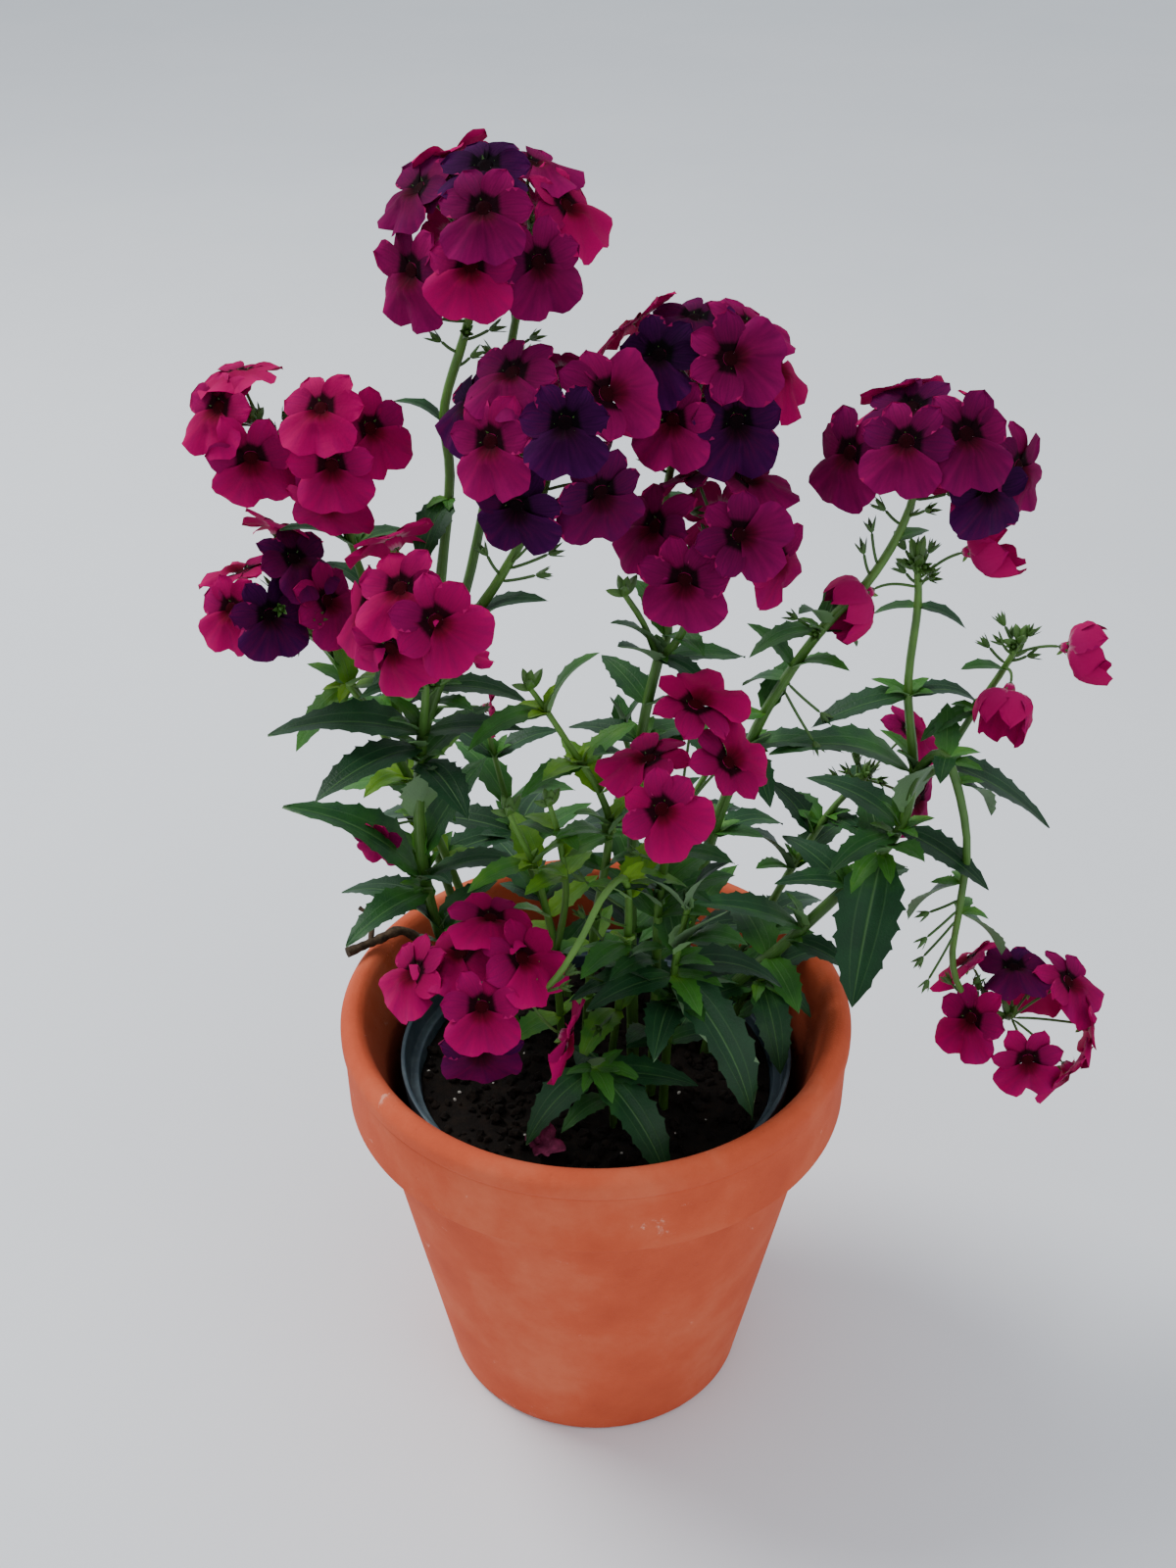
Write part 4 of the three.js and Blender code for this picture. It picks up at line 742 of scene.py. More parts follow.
leafRows = {  # place along the stem, azimuth, rise and length of each leaf
    "left": ((0.25, 199, 45, 26), (0.25, 29, 29, 27), (0.31, 180, 33, 54), (0.295, 225, -6, 36),
        (0.28, 152, -12, 38), (0.31, 348, 20, 36), (0.34, 30, 50, 40), (0.46, 184, 2, 48),
        (0.445, 224, -2, 42), (0.46, 346, 11, 34), (0.43, 300, -4, 34), (0.53, 356, -8, 30),
        (0.53, 206, 6, 25), (0.38, 297, 60, 34), (0.8, 178, 25, 16), (0.71, 245, -40, 25)),
    "leftBack": ((0.42, 40, 9, 18),),
    "leftFront": ((0.4, 345, 24, 27), (0.4, 140, -15, 18)),
    "farLeft": ((0.72, 207, 25, 25), (0.72, 45, -6, 24), (0.84, 347, 39, 20), (0.49, 137, -30, 38),
        (0.49, 64, -20, 36), (0.35, 32, -3, 34), (0.39, 141, -30, 38)),
    "lowLeft": ((0.68, 200, 49, 28), (0.65, 222, -34, 28), (0.68, 50, 30, 22), (0.5, 158, -25, 44)),
    "lowLeftFork": ((0.96, 135, 60, 18), (0.96, 320, 30, 18)),
    "middle": ((0.56, 216, 44, 26), (0.56, 318, -14, 22), (0.44, 152, -3, 26), (0.44, 36, -14, 28),
        (0.35, 149, -30, 34), (0.35, 30, 24, 28), (0.83, 55, -8, 20)),
    "middleSprig": ((0.9, 200, 72, 15), (0.9, 350, 66, 16), (0.85, 100, 40, 14)),
    "rightMiddle": ((0.66, 200, -12, 25), (0.66, 34, -33, 19), (0.43, 350, 4, 32),
        (0.43, 285, -16, 26), (0.56, 135, -28, 20), (0.33, 135, -30, 32), (0.33, 29, -9, 30),
        (0.89, 40, -4, 16)),
    "right": ((0.77, 188, -17, 33), (0.77, 10, -13, 26), (0.89, 352, -23, 17),
        (0.89, 160, -20, 15), (0.67, 189, 15, 52), (0.6, 300, 60, 34), (0.57, 155, 17, 36),
        (0.55, 215, -8, 30), (0.565, 330, -22, 36), (0.5, 250, -56, 54), (0.36, 197, 25, 46),
        (0.34, 334, -15, 26), (0.42, 37, -10, 32), (0.42, 134, 14, 30)),
    "rightFork": ((0.59, 200, -23, 21), (0.3, 351, -31, 44), (0.96, 203, 12, 17),
        (0.59, 26, -20, 22)),
    "rightArch": ((0.36, 35, -46, 28), (0.63, 30, -50, 36), (0.57, 133, -52, 34)),
    "front": ((0.6, 210, 37, 26), (0.6, 23, 10, 28), (0.8, 330, 10, 24), (0.4, 190, -10, 30)),
    "drooping": ((0.28, 237, 8, 28), (0.42, 25, -22, 24)),
    "frontShoot": ((0.78, 318, 52, 32), (0.66, 320, -52, 56), (0.7, 5, -18, 38),
        (0.56, 200, 40, 26), (0.98, 340, 58, 26), (0.98, 205, 50, 24), (0.53, 258, 4, 34)),
    "frontLowShoot": ((0.97, 318, -44, 46), (0.9, 358, -8, 34), (0.95, 215, -34, 34),
        (0.8, 140, -30, 24), (0.99, 250, 40, 22)),
    "budShoot": ((0.83, 352, 56, 28), (0.84, 205, -15, 28), (0.66, 216, -8, 24),
        (0.66, 23, 31, 22), (0.43, 225, 25, 26), (0.43, 341, 44, 27)),
    "lowShoot": ((0.45, 162, -35, 30), (0.65, 206, -10, 24), (0.65, 335, 43, 22)),
    "lowShootFork": ((0.55, 32, 2, 24), (0.68, 140, -10, 18)),
    "rightShoot": ((0.97, 28, 3, 24), (0.86, 285, -44, 34), (0.95, 335, -40, 22),
        (0.79, 140, -37, 22)),
    "backRight": ((0.6, 204, 49, 32), (0.63, 33, -32, 32), (0.71, 138, 31, 26),
        (0.77, 322, -13, 24), (0.46, 192, 0, 28), (0.46, 42, -10, 36), (0.93, 60, -6, 22)),
    "back": ((0.5, 144, 16, 36), (0.5, 38, 24, 38), (0.75, 137, 4, 30), (0.75, 34, -3, 32),
        (0.96, 140, 20, 24), (0.96, 16, 14, 26)),
    "backLeft": ((0.55, 120, 6, 40), (0.55, 40, 8, 34), (0.72, 170, 5, 38), (0.72, 75, -4, 34),
        (0.93, 150, 16, 28), (0.93, 20, 14, 26)),
}

stalkRows = {  # stalks that carry an empty calyx or a bud: place, azimuth, rise and length
    "left": ((0.92, 200, 10, 13), (0.9, 20, 15, 13)),
    "leftFront": ((0.62, 350, 25, 19), (0.64, 320, 45, 15), (0.6, 200, 60, 13), (0.58, 10, 5, 16)),
    "farLeft": ((0.93, 30, 20, 12),),
    "lowLeft": ((0.86, 250, -10, 12), (0.9, 60, 40, 12)),
    "middle": ((0.82, 210, 5, 14), (0.83, 330, 15, 14)),
    "rightMiddle": ((0.66, 200, 34, 15), (0.66, 252, 20, 13), (0.78, 170, 70, 13),
        (0.8, 180, 76, 17), (0.92, 0, 10, 15), (0.93, 180, 15, 15), (0.56, 0, -45, 22),
        (0.55, 340, -58, 27)),
    "rightArch": ((0.64, 190, -55, 24), (0.67, 200, -66, 26), (0.62, 210, -30, 20),
        (0.6, 160, -40, 18)),
    "drooping": ((0.22, 200, 34, 24), (0.25, 165, 50, 26), (0.31, 232, 40, 24),
        (0.34, 150, 20, 22), (0.19, 250, 20, 24)),
    "front": ((0.76, 200, 30, 15),),
}

budClusters = {  # number of green buds at a stem's tip, and their length
    "lowLeft": (0, 0), "middleBuds": (5, 7), "right": (6, 8), "rightFork": (5, 7), "rightArch": (4, 7),
    "drooping": (4, 7), "budShoot": (5, 7), "lowShoot": (5, 7), "lowShootFork": (5, 6),
}

headStarts = {  # where the flowering top of a stem begins
    "left": 0.87, "leftBack": 0.62, "leftFront": 0.72, "leftShort": 0.5, "farLeft": 0.86, "farLeftFork": 0.5,
    "lowLeft": 0.86, "middle": 0.87, "middleFront": 0.55, "rightMiddle": 0.86, "right": 0.93,
    "rightFork": 0.85, "rightArch": 0.85, "front": 0.84, "drooping": 0.84, "backRight": 0.9,
}

plants = {  # the stems that grow from one foot, and the age of their green from dark (0) to fresh (1)
    "leafy_stem_left": (("left", "leftBack", "leftFront", "leftShort"), 0.3),
    "leafy_stem_far_left": (("farLeft", "farLeftFork"), 0.3),
    "leafy_stem_low_left": (("lowLeft", "lowLeftFork"), 0.6),
    "leafy_stem_middle": (("middle", "middleFront", "middleBuds", "middleSprig"), 0.3),
    "leafy_stem_right_middle": (("rightMiddle",), 0.32),
    "leafy_stem_right": (("right", "rightFork", "rightArch"), 0.3),
    "leafy_stem_front": (("front",), 0.35),
    "leafy_stem_drooping": (("drooping",), 0.6),
    "leafy_shoot_front": (("frontShoot",), 0.25),
    "leafy_shoot_front_low": (("frontLowShoot",), 0.25),
    "bud_shoot": (("budShoot",), 0.6),
    "bud_shoot_low": (("lowShoot", "lowShootFork"), 0.6),
    "leafy_shoot_right": (("rightShoot",), 0.3),
    "leafy_stem_back_right": (("backRight",), 0.3),
    "leafy_stem_back": (("back",), 0.25),
    "leafy_stem_back_left": (("backLeft",), 0.25),
}

# Flower heads: middle, the stems that carry it, size against a full bloom, how far the petals are still
# cupped, and each bloom as (x, y, z from the middle, tone from purple (0) to bright (1), roll in degrees)
heads = {
    "head_top": ((-29, 10, 424), ("left", "leftBack"), 1, 0, (
        (-13, 20, 20, 0.95, 0), (-13, 8, 19, 0.42, 5), (-22, 4, 16, 0.45, 0), (-2, -6, 25, 0.12, 0),
        (11, 12, 21, 0.62, 0), (21, 1, 12, 0.96, 10), (-2, -20, 17, 0.52, 0), (-6, -23, 2, 0.88, -5),
        (-24, -9, -4, 0.6, 0), (13, -17, 1, 0.55, 8), (-14, 19, -2, 0.7, 0), (12, 22, 2, 0.6, 0))),
    "head_centre_left": ((-12, -18, 380), ("leftFront",), 1, 0, (
        (-12, -5, 20, 0.52, 0), (-18, -17, 4, 0.7, 10), (3, -23, 12, 0.12, 0), (15, -8, 15, 0.68, 80),
        (-24, 3, 8, 0.18, 0), (-11, -20, -14, 0.14, 0), (13, -18, -11, 0.38, 5), (2, 15, 14, 0.2, 0),
        (-9, 18, -4, 0.75, 0), (15, 10, -10, 0.5, 0))),
    "head_centre_right": ((31, 10, 380), ("middle",), 1, 0, (
        (-14, -12, 17, 0.14, 0), (7, -17, 18, 0.55, 80), (-10, -22, 1, 0.7, 0), (9, -21, 0, 0.16, 0),
        (-3, 7, 22, 0.26, 0), (13, 6, 20, 0.7, 0), (22, 5, 7, 0.92, 15), (-19, 12, 20, 0.98, 0),
        (-5, 23, -6, 0.6, 0), (12, 18, -6, 0.5, 0))),
    "head_under_centre": ((36, -10, 343), ("middleFront",), 1, 0, (
        (5, -18, 10, 0.55, 70), (-11, -18, -5, 0.66, 0), (-20, -4, 6, 0.6, 0), (-7, 10, 17, 0.5, 0),
        (9, 8, 16, 0.6, 0), (18, -2, -6, 0.78, 20), (2, 20, 0, 0.5, 0))),
    "head_right": ((97, 0, 366), ("rightMiddle",), 1.02, 0, (
        (-10, -20, 12, 0.56, -5), (8, -17, 13, 0.48, 0), (-6, 0, 15, 0.35, 0), (-6, 16, 12, 0.86, 0),
        (-24, -5, 2, 0.55, 0), (16, -17, -4, 0.16, 0), (27, -6, -2, 0.56, 10), (19, 4, 8, 0.96, 0),
        (4, 20, -4, 0.5, 0))),
    "head_far_left": ((-103, 6, 374), ("farLeftFork",), 0.95, 0, (
        (-8, -5, 6, 0.9, 0), (-3, 9, 12, 0.95, 0), (2, -13, -7, 0.88, 5), (-12, 3, -4, 0.84, 0))),
    "head_left": ((-75, -3, 372), ("farLeft",), 0.95, 0, (
        (-4, -9, 13, 0.92, 0), (-1, -16, -2, 0.86, 5), (10, -5, 5, 0.9, 10), (-4, -10, -16, 0.84, 0),
        (3, 11, 2, 0.85, 0))),
    "head_low_left": ((-107, 0, 315), ("lowLeft",), 0.92, 0, (
        (8, 18, 20, 0.96, 0), (-5, -7, 3, 0.9, 0), (8, -11, 3, 0.2, 0), (15, 2, 16, 0.3, 0),
        (25, -3, 4, 0.72, 20), (-4, 11, 8, 0.9, 0))),
    "head_near_left": ((-50, -35, 331), ("leftShort",), 1, 0, (
        (-10, 15, 18, 0.96, 0), (-6, -9, 13, 0.9, 5), (5, -18, 7, 0.86, 43), (-9, -14, -4, 0.92, 40),
        (-17, -2, 2, 0.86, 0))),
    "head_near": ((22, -44, 268), ("front",), 1, 0, (
        (8, 14, 31, 0.95, 90), (18, 3, 17, 0.9, 90), (-7, 10, 14, 0.88, 0), (-3, -15, 11, 0.9, 45))),
    "head_drooping": ((-38, -46, 196), ("drooping",), 1, 0, (
        (-21, 2, 11, 0.9, 0), (2, -15, 10, 0.86, 0), (15, -2, 20, 0.92, 10), (4, 13, 25, 0.9, 0),
        (-6, 6, 16, 0.85, 0), (1, -14, -9, 0.35, 0), (30, -8, -8, 0.95, 0))),
    "head_hanging": ((153, 10, 143), ("rightArch",), 1, 0, (
        (-20, -9, 7, 0.82, 0), (0, -20, -3, 0.86, 5), (18, 4, 14, 0.8, 0), (26, -2, -1, 0.92, 0),
        (18, -14, -13, 0.9, 0), (-2, 9, 17, 0.3, 0), (-19, 13, 17, 0.92, 0), (8, 18, 2, 0.8, 0))),
    "head_young_right": ((99, 8, 327), ("right",), 0.68, 0.66, (
        (-16, -5, -9, 0.92, 0), (16, -3, 5, 0.95, 0))),
    "head_young_far_right": ((135, 10, 298), ("rightFork",), 0.72, 0.66, (
        (-4, -9, -14, 0.92, 0), (15, -3, -1, 0.95, 0))),
    "head_back_right": ((96, 41, 228), ("backRight",), 0.9, 0, ((14, 3, 16, 0.8, 0), (18, -4, -9, 0.7, 0))),
    "bloom_small_left": ((-50, 0, 280), ("left", "farLeft"), 0.62, 0.3, (
        (7, 14, 10, 0.9, 0), (15, 12, -8, 0.9, 0))),
    "bloom_small_low_left": ((-64, 12, 238), ("lowLeft",), 0.7, 0.2, ((-9, -11, -10, 0.8, 0),)),
}
lowBlooms = ("bloom_small_left", "bloom_small_low_left")  # these grow from lower on their stems
away = {  # blooms that keep facing away from the middle of their head; the others turn to the light
    "head_centre_right": (7,), "head_under_centre": (3,), "head_right": (7,), "head_drooping": (6,),
    "head_hanging": (3, 4, 6), "head_young_right": (0, 1), "head_young_far_right": (0, 1),
}
fillLeaves = {  # small leaves in pairs along a stem: how many, from and to which place, and their length
    "left": (10, 0.2, 0.66, 26), "leftFront": (4, 0.1, 0.45, 16), "farLeft": (8, 0.22, 0.75, 26),
    "lowLeft": (8, 0.25, 0.75, 24), "middle": (12, 0.2, 0.72, 26), "rightMiddle": (10, 0.2, 0.78, 24),
    "right": (8, 0.2, 0.56, 28), "rightArch": (2, 0.2, 0.4, 20), "front": (10, 0.25, 0.75, 24),
    "drooping": (6, 0.14, 0.45, 24), "frontShoot": (8, 0.3, 0.85, 26), "frontLowShoot": (4, 0.5, 0.9, 20),
    "budShoot": (10, 0.25, 0.75, 22), "lowShoot": (8, 0.25, 0.72, 22), "lowShootFork": (4, 0.3, 0.85, 17),
    "rightShoot": (6, 0.4, 0.9, 24), "backRight": (8, 0.2, 0.85, 28), "back": (8, 0.3, 0.9, 30),
    "backLeft": (8, 0.3, 0.9, 30),
}
growth = {
    "fillRise": -8, "fillRiseRange": 46, "fillTurn": 50, "fillTone": 0.3,  # the small leaves along a stem
    "shortest": 0.7, "range": 0.55,
    "axilFrom": 20,  # leaves longer than this, in mm, have two small ones in their axil
    "axilTurn": 22, "axilTurnRange": 12, "axilRise": 30, "axilRiseRange": 14, "axilSteepest": 78,
    "axilLength": 0.26, "axilLengthRange": 0.14, "axilTone": 0.4,
    "youngLength": 30, "youngTone": 0.25,  # shorter leaves are fresher in tone
    "headStalks": 8, "headBuds": 5, "headBudLength": 5,  # green stalks and buds among a head's blooms
}


def fillWithLeaves(bm, part, route, age):  # small leaves in crossed pairs, all a little different
    count, begin, end, length = fillLeaves.get(part, (0, 0, 0, 0))
    for k in range(count):
        pair, seed = k // 2, len(part) + k * 3.1
        t = begin + (end - begin) * (pair + 0.6 * draw(pair, begin * 9)) / (count / 2)
        azimuth = 90 * pair + 180 * (k % 2) + growth["fillTurn"] * draw(seed, t) + 40 * draw(len(part), end)
        full = length * (growth["shortest"] + growth["range"] * draw(seed, 4))
        rise = growth["fillRise"] + growth["fillRiseRange"] * draw(seed, 7)
        leafBlade(bm, curvePoint(route, t), azimuth, rise, full, age + growth["fillTone"] * draw(seed, 2))


def axilLeaves(bm, root, t, azimuth, rise, length, tone):  # the two young leaves where a large one joins
    for side in (-1, 1):
        turned = azimuth + side * (growth["axilTurn"] + growth["axilTurnRange"] * draw(t, side))
        lifted = rise + growth["axilRise"] + growth["axilRiseRange"] * draw(side, t)
        share = growth["axilLength"] + growth["axilLengthRange"] * draw(length, side)
        leafBlade(bm, root, turned, min(growth["axilSteepest"], lifted), length * share, tone)


def fillHead(bm, part, route):  # stalks whose blooms have dropped, and buds where the stem has no cluster
    begin, count = headStarts[part], growth["headStalks"]
    for k in range(count):
        t = begin + (1 - begin) * k / count
        calyxStalk(bm, curvePoint(route, t), 137.5 * k + 60 * draw(k, begin), 15 + 50 * draw(k, 3),
                   9 + 4 * draw(begin, k), 0.4)
    for k in range(0 if part in budClusters else growth["headBuds"]):
        budAtTip(bm, route, k, growth["headBuds"], growth["headBudLength"])


# The greens of each plant: stems, leaves, stalks and buds, as one piece for each plant
greens = {}
plantOf = {}
for plant, (parts, age) in plants.items():
    bm = greens[plant] = newMesh()
    for part in parts:
        plantOf[part] = plant
        route, foot, tip = stemRoutes[part]
        stemTube(bm, route, foot, tip, lambda turn, v: 0.1 + 0.5 * age + 0.45 * v)
        top = headStarts.get(part, 1)
        for t, azimuth, rise, length in leafRows.get(part, ()):
            young = growth["youngTone"] * max(0, 1 - length / growth["youngLength"])
            young += growth["youngTone"] * (draw(azimuth, t) - 0.5)
            root = curvePoint(route, min(t, top - 0.01))
            leafBlade(bm, root, azimuth, rise, length, age + young)
            if length > growth["axilFrom"]:
                axilLeaves(bm, root, t, azimuth, rise, length, age + growth["axilTone"])
        fillWithLeaves(bm, part, route, age)
        if part in headStarts:
            fillHead(bm, part, route)
        for t, azimuth, rise, length in stalkRows.get(part, ()):
            calyxStalk(bm, curvePoint(route, t), azimuth, rise, length, 0.35)
        count, length = budClusters.get(part, (0, 0))
        for i in range(count):
            budAtTip(bm, route, i, count, length)
print("leaves and stems made")

headShape = {
    "towardsLight": (0, -0.6, 0.28),  # how far a bloom turns from the middle of its head
    "rearPlace": 15,  # blooms further back than this, in mm, keep looking back
    "smallest": 0.94, "range": 0.12,
    "lowStart": 0.3,  # where the flowering part begins for lowBlooms
    "spots": 60,  # places on a stem where a bloom's stalk may begin
    "stalkBelow": (0, 0, 9), "stalkRings": 9, "stalkTone": 0.5,
    "lipTone": 0.05,  # the lip is a little brighter than the other petals
    "calyx": 0.95, "calyxSpread": 0.55, "calyxTone": 0.35,
}

# The blooms of each head; their stalks and calyces go with the greens of the stem that carries them
for head, (middle, carriers, size, cup, blooms) in heads.items():
    bm = newMesh()
    for i, (x, y, z, tone, roll) in enumerate(blooms):
        facing = Vector((x, y, z)).normalized()
        if y < headShape["rearPlace"] and i not in away.get(head, ()):
            facing = (facing + Vector(headShape["towardsLight"])).normalized()
        centre = Vector(middle) + Vector((x, y, z))
        uneven = headShape["smallest"] + headShape["range"] * draw(i, middle[2])
        radius = bloomShape["radius"] * size * uneven
        wish = centre - facing * (0.34 * radius + 4) - Vector(headShape["stalkBelow"])
        start = [headShape["lowStart"] if head in lowBlooms else headStarts[name] for name in carriers]
        count = headShape["spots"]
        spots = [(name, curvePoint(stemRoutes[name][0], begin + (1 - begin) * k / count))
                 for name, begin in zip(carriers, start) for k in range(count + 1)]
        carrier, root = min(spots, key=lambda spot: (spot[1] - wish).length)
        side, up, out = bloomAxes(facing)
        turn = Quaternion(out, math.radians(roll))
        axes = (turn @ side, turn @ up, out)
        seed = middle[0] + 7 * i
        full = radius * bloomShape["youngSpread" if cup > bloomShape["young"] else "spread"]
        upperPetals(bm, centre, axes, full, seed, tone, cup)
        lip(bm, centre, axes, full, seed, tone + headShape["lipTone"], cup)
        throat(bm, centre, axes, radius, tone)
        green = greens[plantOf[carrier]]
        neck = centre + out * (bloomShape["back"] * radius)
        calyx(green, neck - out * 0.4, axes, headShape["calyx"] * size ** 0.5, headShape["calyxSpread"],
              headShape["calyxTone"])
        stalkTube(green, bend(root, root + (neck - root) * 0.35 + Vector((0, 0, 1.5)), neck - out * 5,
                              neck + out * 0.5, headShape["stalkRings"]), headShape["stalkTone"])
    # A head may stand for numbered nodes, such as head_top for head_top_1 and head_top_2
    nodes = [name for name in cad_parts
             if name == head or name.rsplit("_", 1)[0] == head and name[-1].isdigit()]
    finishPiece(bm, head + "_petals", petalMaterials, nodes)
print("blooms made")

for plant, bm in greens.items():
    finishPiece(bm, plant + "_greens", greenMaterials, [plant])
print("greens finished")


# Corners of a profile, each rounded by a short curve of the given reach
def roundedProfile(corners):
    points = []
    for i, (radius, height, reach) in enumerate(corners):
        here = Vector((radius, height))
        before = Vector(corners[i - 1][:2]) - here
        after = Vector(corners[(i + 1) % len(corners)][:2]) - here
        if reach == 0:
            points.append(here)
            continue
        start = here + before.normalized() * min(reach, before.length * 0.4)
        end = here + after.normalized() * min(reach, after.length * 0.4)
        points.append(here + before.normalized() * min(2.2 * reach, before.length * 0.48))
        points += [start * (1 - f) ** 2 + here * (2 * f * (1 - f)) + end * f ** 2
                   for f in (0, 0.25, 0.5, 0.75, 1)]
        points.append(here + after.normalized() * min(2.2 * reach, after.length * 0.48))
    return [*points, points[0]]


# A pot thrown or moulded from its profile, never quite round
def turnedPot(name, shape, material, node):
    bm = newMesh()
    points = roundedProfile(shape["corners"])
    last = len(points) - 1

    def place(turn, v):
        radius, height = points[round(v * last)]
        angle = turn * 2 * math.pi
        x, y = math.cos(angle), math.sin(angle)
        swing = noise.noise(Vector((x, y, height / 40)) * 1.5) * shape["wobble"]
        return Vector((x * radius, y * radius, height)) + Vector((x, y, 0)) * swing * (height > 1)

    wrapSheet(bm, shape["around"], last, place, 0, (0, 0))
    tones = bm.verts.layers.float["tone"]
    paintedShade = shape["paintedShade"]
    for vert in bm.verts:  # painted shade on the inside of the clay wall, darker further below its rim
        inside = paintedShade and vert.co.xy.length < paintedShade + 0.2 * vert.co.z
        vert[tones] = max(0, min(0.85, (156 - vert.co.z) / 40)) if inside else 0
    finishPiece(bm, name, [material], [node])


clayPot = {  # radius, height and rounding of each corner of the wall, from the drain hole round
    "corners": [(11, 0, 0.8), (56, 0, 1.6), (80.6, 127, 0.6), (88.6, 127, 0.5), (89.1, 150.4, 0.2),
                (88.95, 151, 0.2), (90, 152.2, 0.5), (90, 157, 1.8), (87.3, 160, 1.8), (84.2, 160, 1.5),
                (81.5, 157.5, 2), (73, 127, 4), (51, 12, 5), (11, 12, 1.2)],
    "around": 160,
    "wobble": 0.25,
    "paintedShade": 54,  # radius at the ground within which shade is painted on the inside of the clay; it widens upwards
}
nurseryPot = {  # a thin wall with a stepped collar
    "corners": [(0.01, 12.3, 0), (45, 12.3, 2), (65.4, 128.3, 0.4), (68.8, 128.3, 0.6), (70, 138.3, 0.7),
                (68.4, 138.3, 0.6), (66.9, 130, 0.6), (63.8, 130, 0.5), (43.6, 13.9, 1.5), (0.01, 13.9, 0)],
    "around": 128,
    "wobble": 0.3,
    "paintedShade": 0,
}
turnedPot("clay_pot", clayPot, firedClay, "terracotta_pot")
turnedPot("growers_pot", nurseryPot, slatePlastic, "nursery_pot")
print("pots made")

soil = {
    "wall": [(0, 14.5), (42, 14.5), (62.8, 124)],  # radius and height of its underside and side
    "radius": 62.8, "top": 126.3, "around": 96, "rings": 44,
    "lump": 2.2, "lumpSize": 14, "clod": 0.55, "clodSize": 5, "grain": 0.6, "grainSize": 2,
    "crumbs": 620, "specks": 34, "scatter": 61, "seed": 11,
}


# Peat that fills the pot, with a lumpy face, loose crumbs and white specks
def makeSoil():
    bm = newMesh()
    rings, wide = soil["rings"], soil["radius"]
    rows = soil["wall"] + [(wide - wide * k / rings, soil["top"]) for k in range(rings + 1)]
    last = len(rows) - 1

    def height(x, y):
        lumps = noise.noise(Vector((x, y, 3)) / soil["lumpSize"])
        lumps += soil["clod"] * noise.noise(Vector((x, y, 9)) / soil["clodSize"])
        return soil["lump"] * lumps + soil["grain"] * noise.noise(Vector((x, y, 21)) / soil["grainSize"])

    def place(turn, v):
        radius, level = rows[round(v * last)]
        angle = turn * 2 * math.pi
        x, y = radius * math.cos(angle), radius * math.sin(angle)
        return Vector((x, y, level + (height(x, y) if level > 120 else 0)))

    wrapSheet(bm, soil["around"], last, place, 0.5, (0, 0))
    rng = random.Random(soil["seed"])
    for i in range(soil["crumbs"] + soil["specks"]):
        angle, far = rng.uniform(0, 2 * math.pi), soil["scatter"] * math.sqrt(rng.random())
        white = i >= soil["crumbs"]
        size = rng.uniform(0.4, 0.9) if white else rng.uniform(0.8, 3.2)
        x, y = far * math.cos(angle), far * math.sin(angle)
        made = bmesh.ops.create_icosphere(bm, subdivisions=1 if i % 4 else 2, radius=size)["verts"]
        axis = Vector((rng.random(), rng.random(), rng.random() + 0.1)).normalized()
        turn = Quaternion(axis, rng.uniform(0, 6))
        for vert in made:
            jag = 1 + 0.5 * noise.noise(vert.co * 1.3 / size + Vector((i, 0, 0)))
            vert.co = turn @ Vector((vert.co.x * jag, vert.co.y * jag * 0.8, vert.co.z * jag * 0.7))
            vert.co += Vector((x, y, soil["top"] + height(x, y) + size * 0.15))
        for face in {face for vert in made for face in vert.link_faces}:
            face.material_index = 1 if white else 0
    finishPiece(bm, "peat", [darkPeat, perlite], ["potting_soil"])


makeSoil()
print("soil made")

deadStem = {
    "route": [(-44, 30, 104), (-48, 32, 130), (-59, 37, 150), (-70, 35, 163.5), (-80, 30, 163),
              (-90, 23, 162.8)],
    "radii": (2.0, 1.7), "rings": 36,
    "snagFrom": 0.84,
    "snag": [(-82, 37, 168), (-87, 42, 169)],
    "snagRadii": (1.1, 0.8), "snagRings": 12,
    "thin": 0.85, "knots": 0.35,  # the least and the further share of the radius at a knot
    "around": 9, "lobes": 3, "lobing": 0.12, "endShare": 0.1,
}


# A dry twig over the rim, broken at its end, with one snag
def makeDeadStem():
    bm = newMesh()
    snag = [tuple(curvePoint(deadStem["route"], deadStem["snagFrom"])), *deadStem["snag"]]
    for route, (foot, tip), count in ((deadStem["route"], deadStem["radii"], deadStem["rings"]),
                                      (snag, deadStem["snagRadii"], deadStem["snagRings"])):
        points = ringedRoute(route, count, deadStem["endShare"], deadStem["endShare"])
        last = len(points) - 1
        knots = [deadStem["thin"] + deadStem["knots"] * draw(i, foot) for i in range(last + 1)]
        tube(bm, points, deadStem["around"],
             lambda v: 0 if v in (0, 1) else (foot + (tip - foot) * v) * knots[round(v * last)], 0.5, 0,
             deadStem["lobes"], deadStem["lobing"])
    finishPiece(bm, "dry_twig", [dryBark], ["dead_stem"])


makeDeadStem()

fallenBloom = {
    "middle": (-20, -40, 130), "radius": 9, "facing": (0.3, -0.5, 0.8), "cup": 0.5, "seed": 5,
    "crumple": 1.6, "crumpleSize": 5, "crumpleSeed": 3,
}


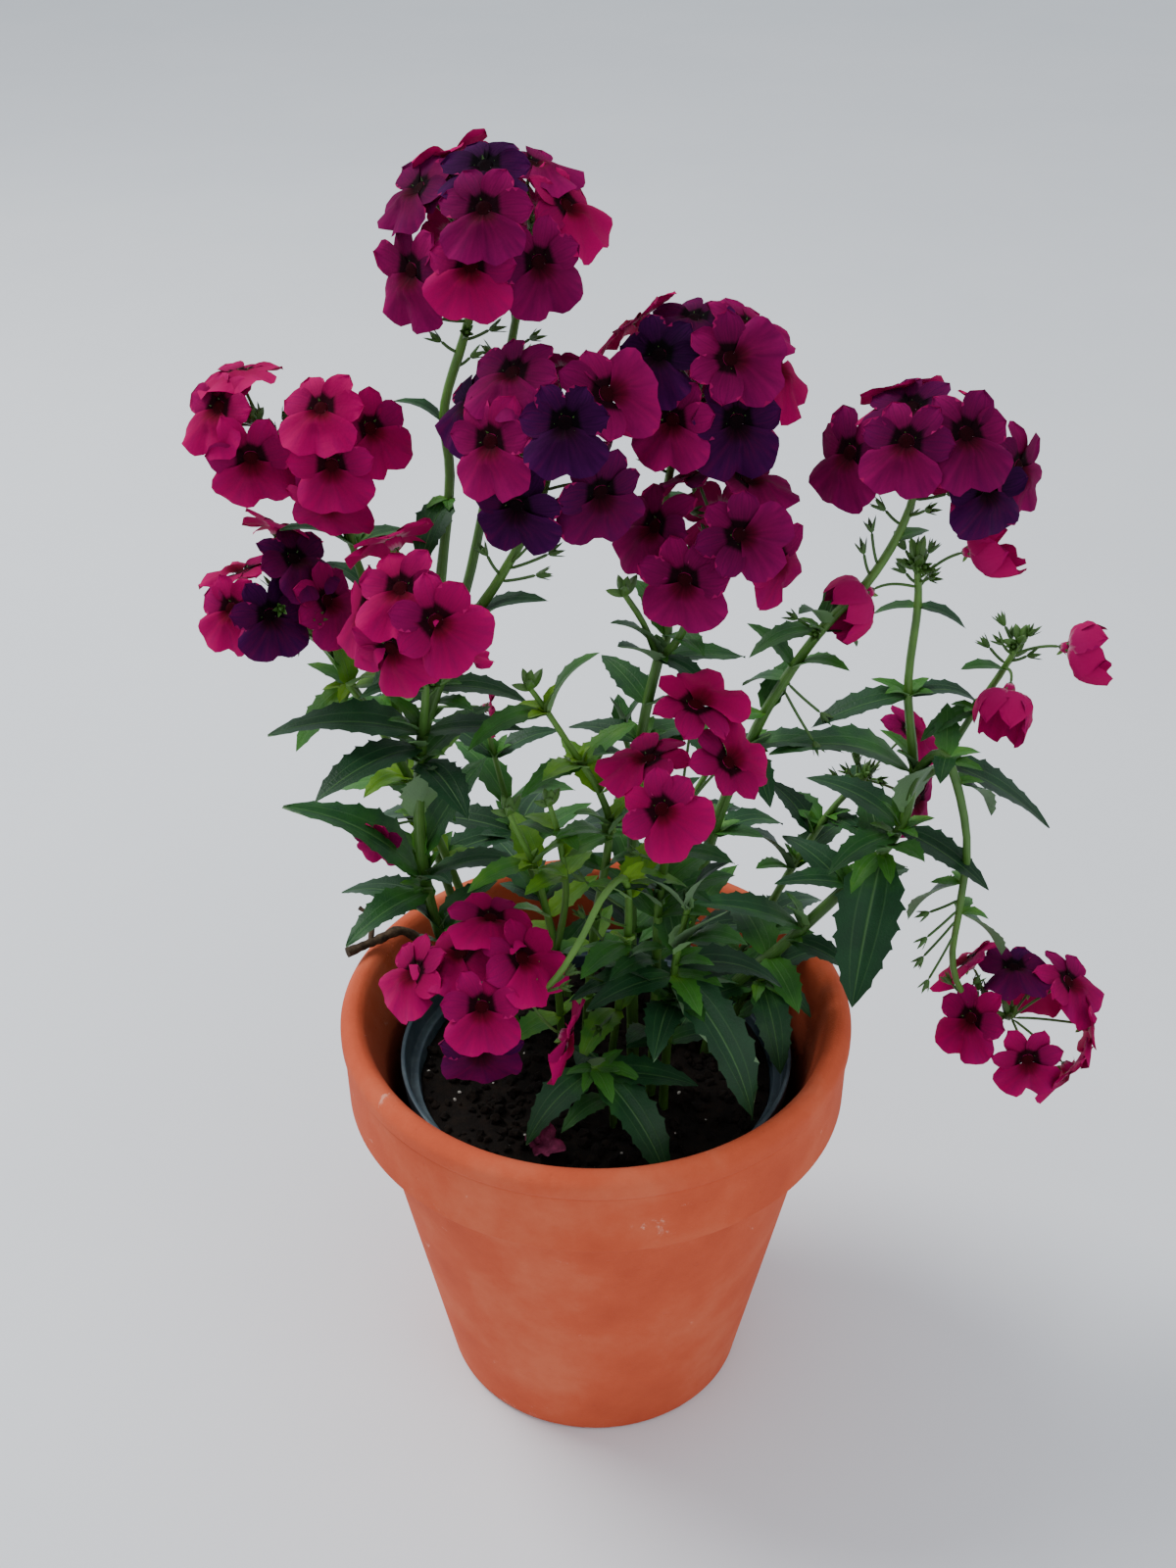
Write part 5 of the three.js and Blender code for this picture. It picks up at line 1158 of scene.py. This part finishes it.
# A shrunken bloom that lies on the soil
def makeFallenBloom():
    bm = newMesh()
    centre, radius = Vector(fallenBloom["middle"]), fallenBloom["radius"]
    axes = bloomAxes(Vector(fallenBloom["facing"]))
    upperPetals(bm, centre, axes, radius, fallenBloom["seed"], 0.6, fallenBloom["cup"])
    lip(bm, centre, axes, radius, fallenBloom["seed"], 0.6, fallenBloom["cup"])
    throat(bm, centre, axes, radius, 0.5)
    noise.seed_set(fallenBloom["crumpleSeed"])  # or the crumple would differ on each run
    for vert in bm.verts:
        shift = noise.noise_vector(vert.co / fallenBloom["crumpleSize"]) * fallenBloom["crumple"]
        vert.co += Vector((shift.x, shift.y, shift.z * 0.6))
    finishPiece(bm, "wilted_bloom", [wiltedPetal] * len(petalMaterials), ["fallen_bloom"])


makeFallenBloom()
bpy.data.meshes.remove(sheetHolder)
print("twig and fallen bloom made")

room = {
    "floorSize": 40, "floorTop": -0.0005,
    "sky": "#D6DCE4", "skyStrength": 1.12,
    "lights": {  # place, aim, size and power
        "windowLight": ((-1.1, 0.5, 1.7), (0, 0, 0.25), 0.9, 32),
        "fillLight": ((1.3, -1.2, 1.3), (0, 0, 0.2), 1.5, 8),
    },
}

bpy.ops.mesh.primitive_plane_add(size=room["floorSize"], location=(0, 0, room["floorTop"]))
floor = bpy.context.object
floor.name = "studio_floor"
floor.data.materials.append(paleFloor)

world = bpy.data.worlds.new("studioSky")
bpy.context.scene.world = world
world.use_nodes = True
sky = world.node_tree.nodes["Background"]
sky.inputs[0].default_value = colour(room["sky"])
sky.inputs[1].default_value = room["skyStrength"]

for name, (place, aim, size, power) in room["lights"].items():
    data = bpy.data.lights.new(name, "AREA")
    data.shape, data.size, data.energy = "DISK", size, power
    light = bpy.data.objects.new(name, data)
    light.location = place
    light.rotation_euler = (Vector(aim) - Vector(place)).to_track_quat("-Z", "Y").to_euler()
    bpy.context.scene.collection.objects.link(light)

# Metres from the pots' axis, degrees from straight down, and mm on a film 36 mm high
camera = {"place": (-0.0028, -0.5285, 0.5898), "pitch": 57.28, "lens": 44.06, "film": 36}
eye = bpy.data.cameras.new("photoCamera")
eye.lens, eye.sensor_width, eye.sensor_fit = camera["lens"], camera["film"], "AUTO"
lookout = bpy.data.objects.new("photoCamera", eye)
lookout.location = (camera["place"][0] + potAxisX, camera["place"][1], camera["place"][2])
lookout.rotation_euler = (math.radians(camera["pitch"]), 0, 0)
bpy.context.scene.collection.objects.link(lookout)
bpy.context.scene.camera = lookout
print("light and camera set")
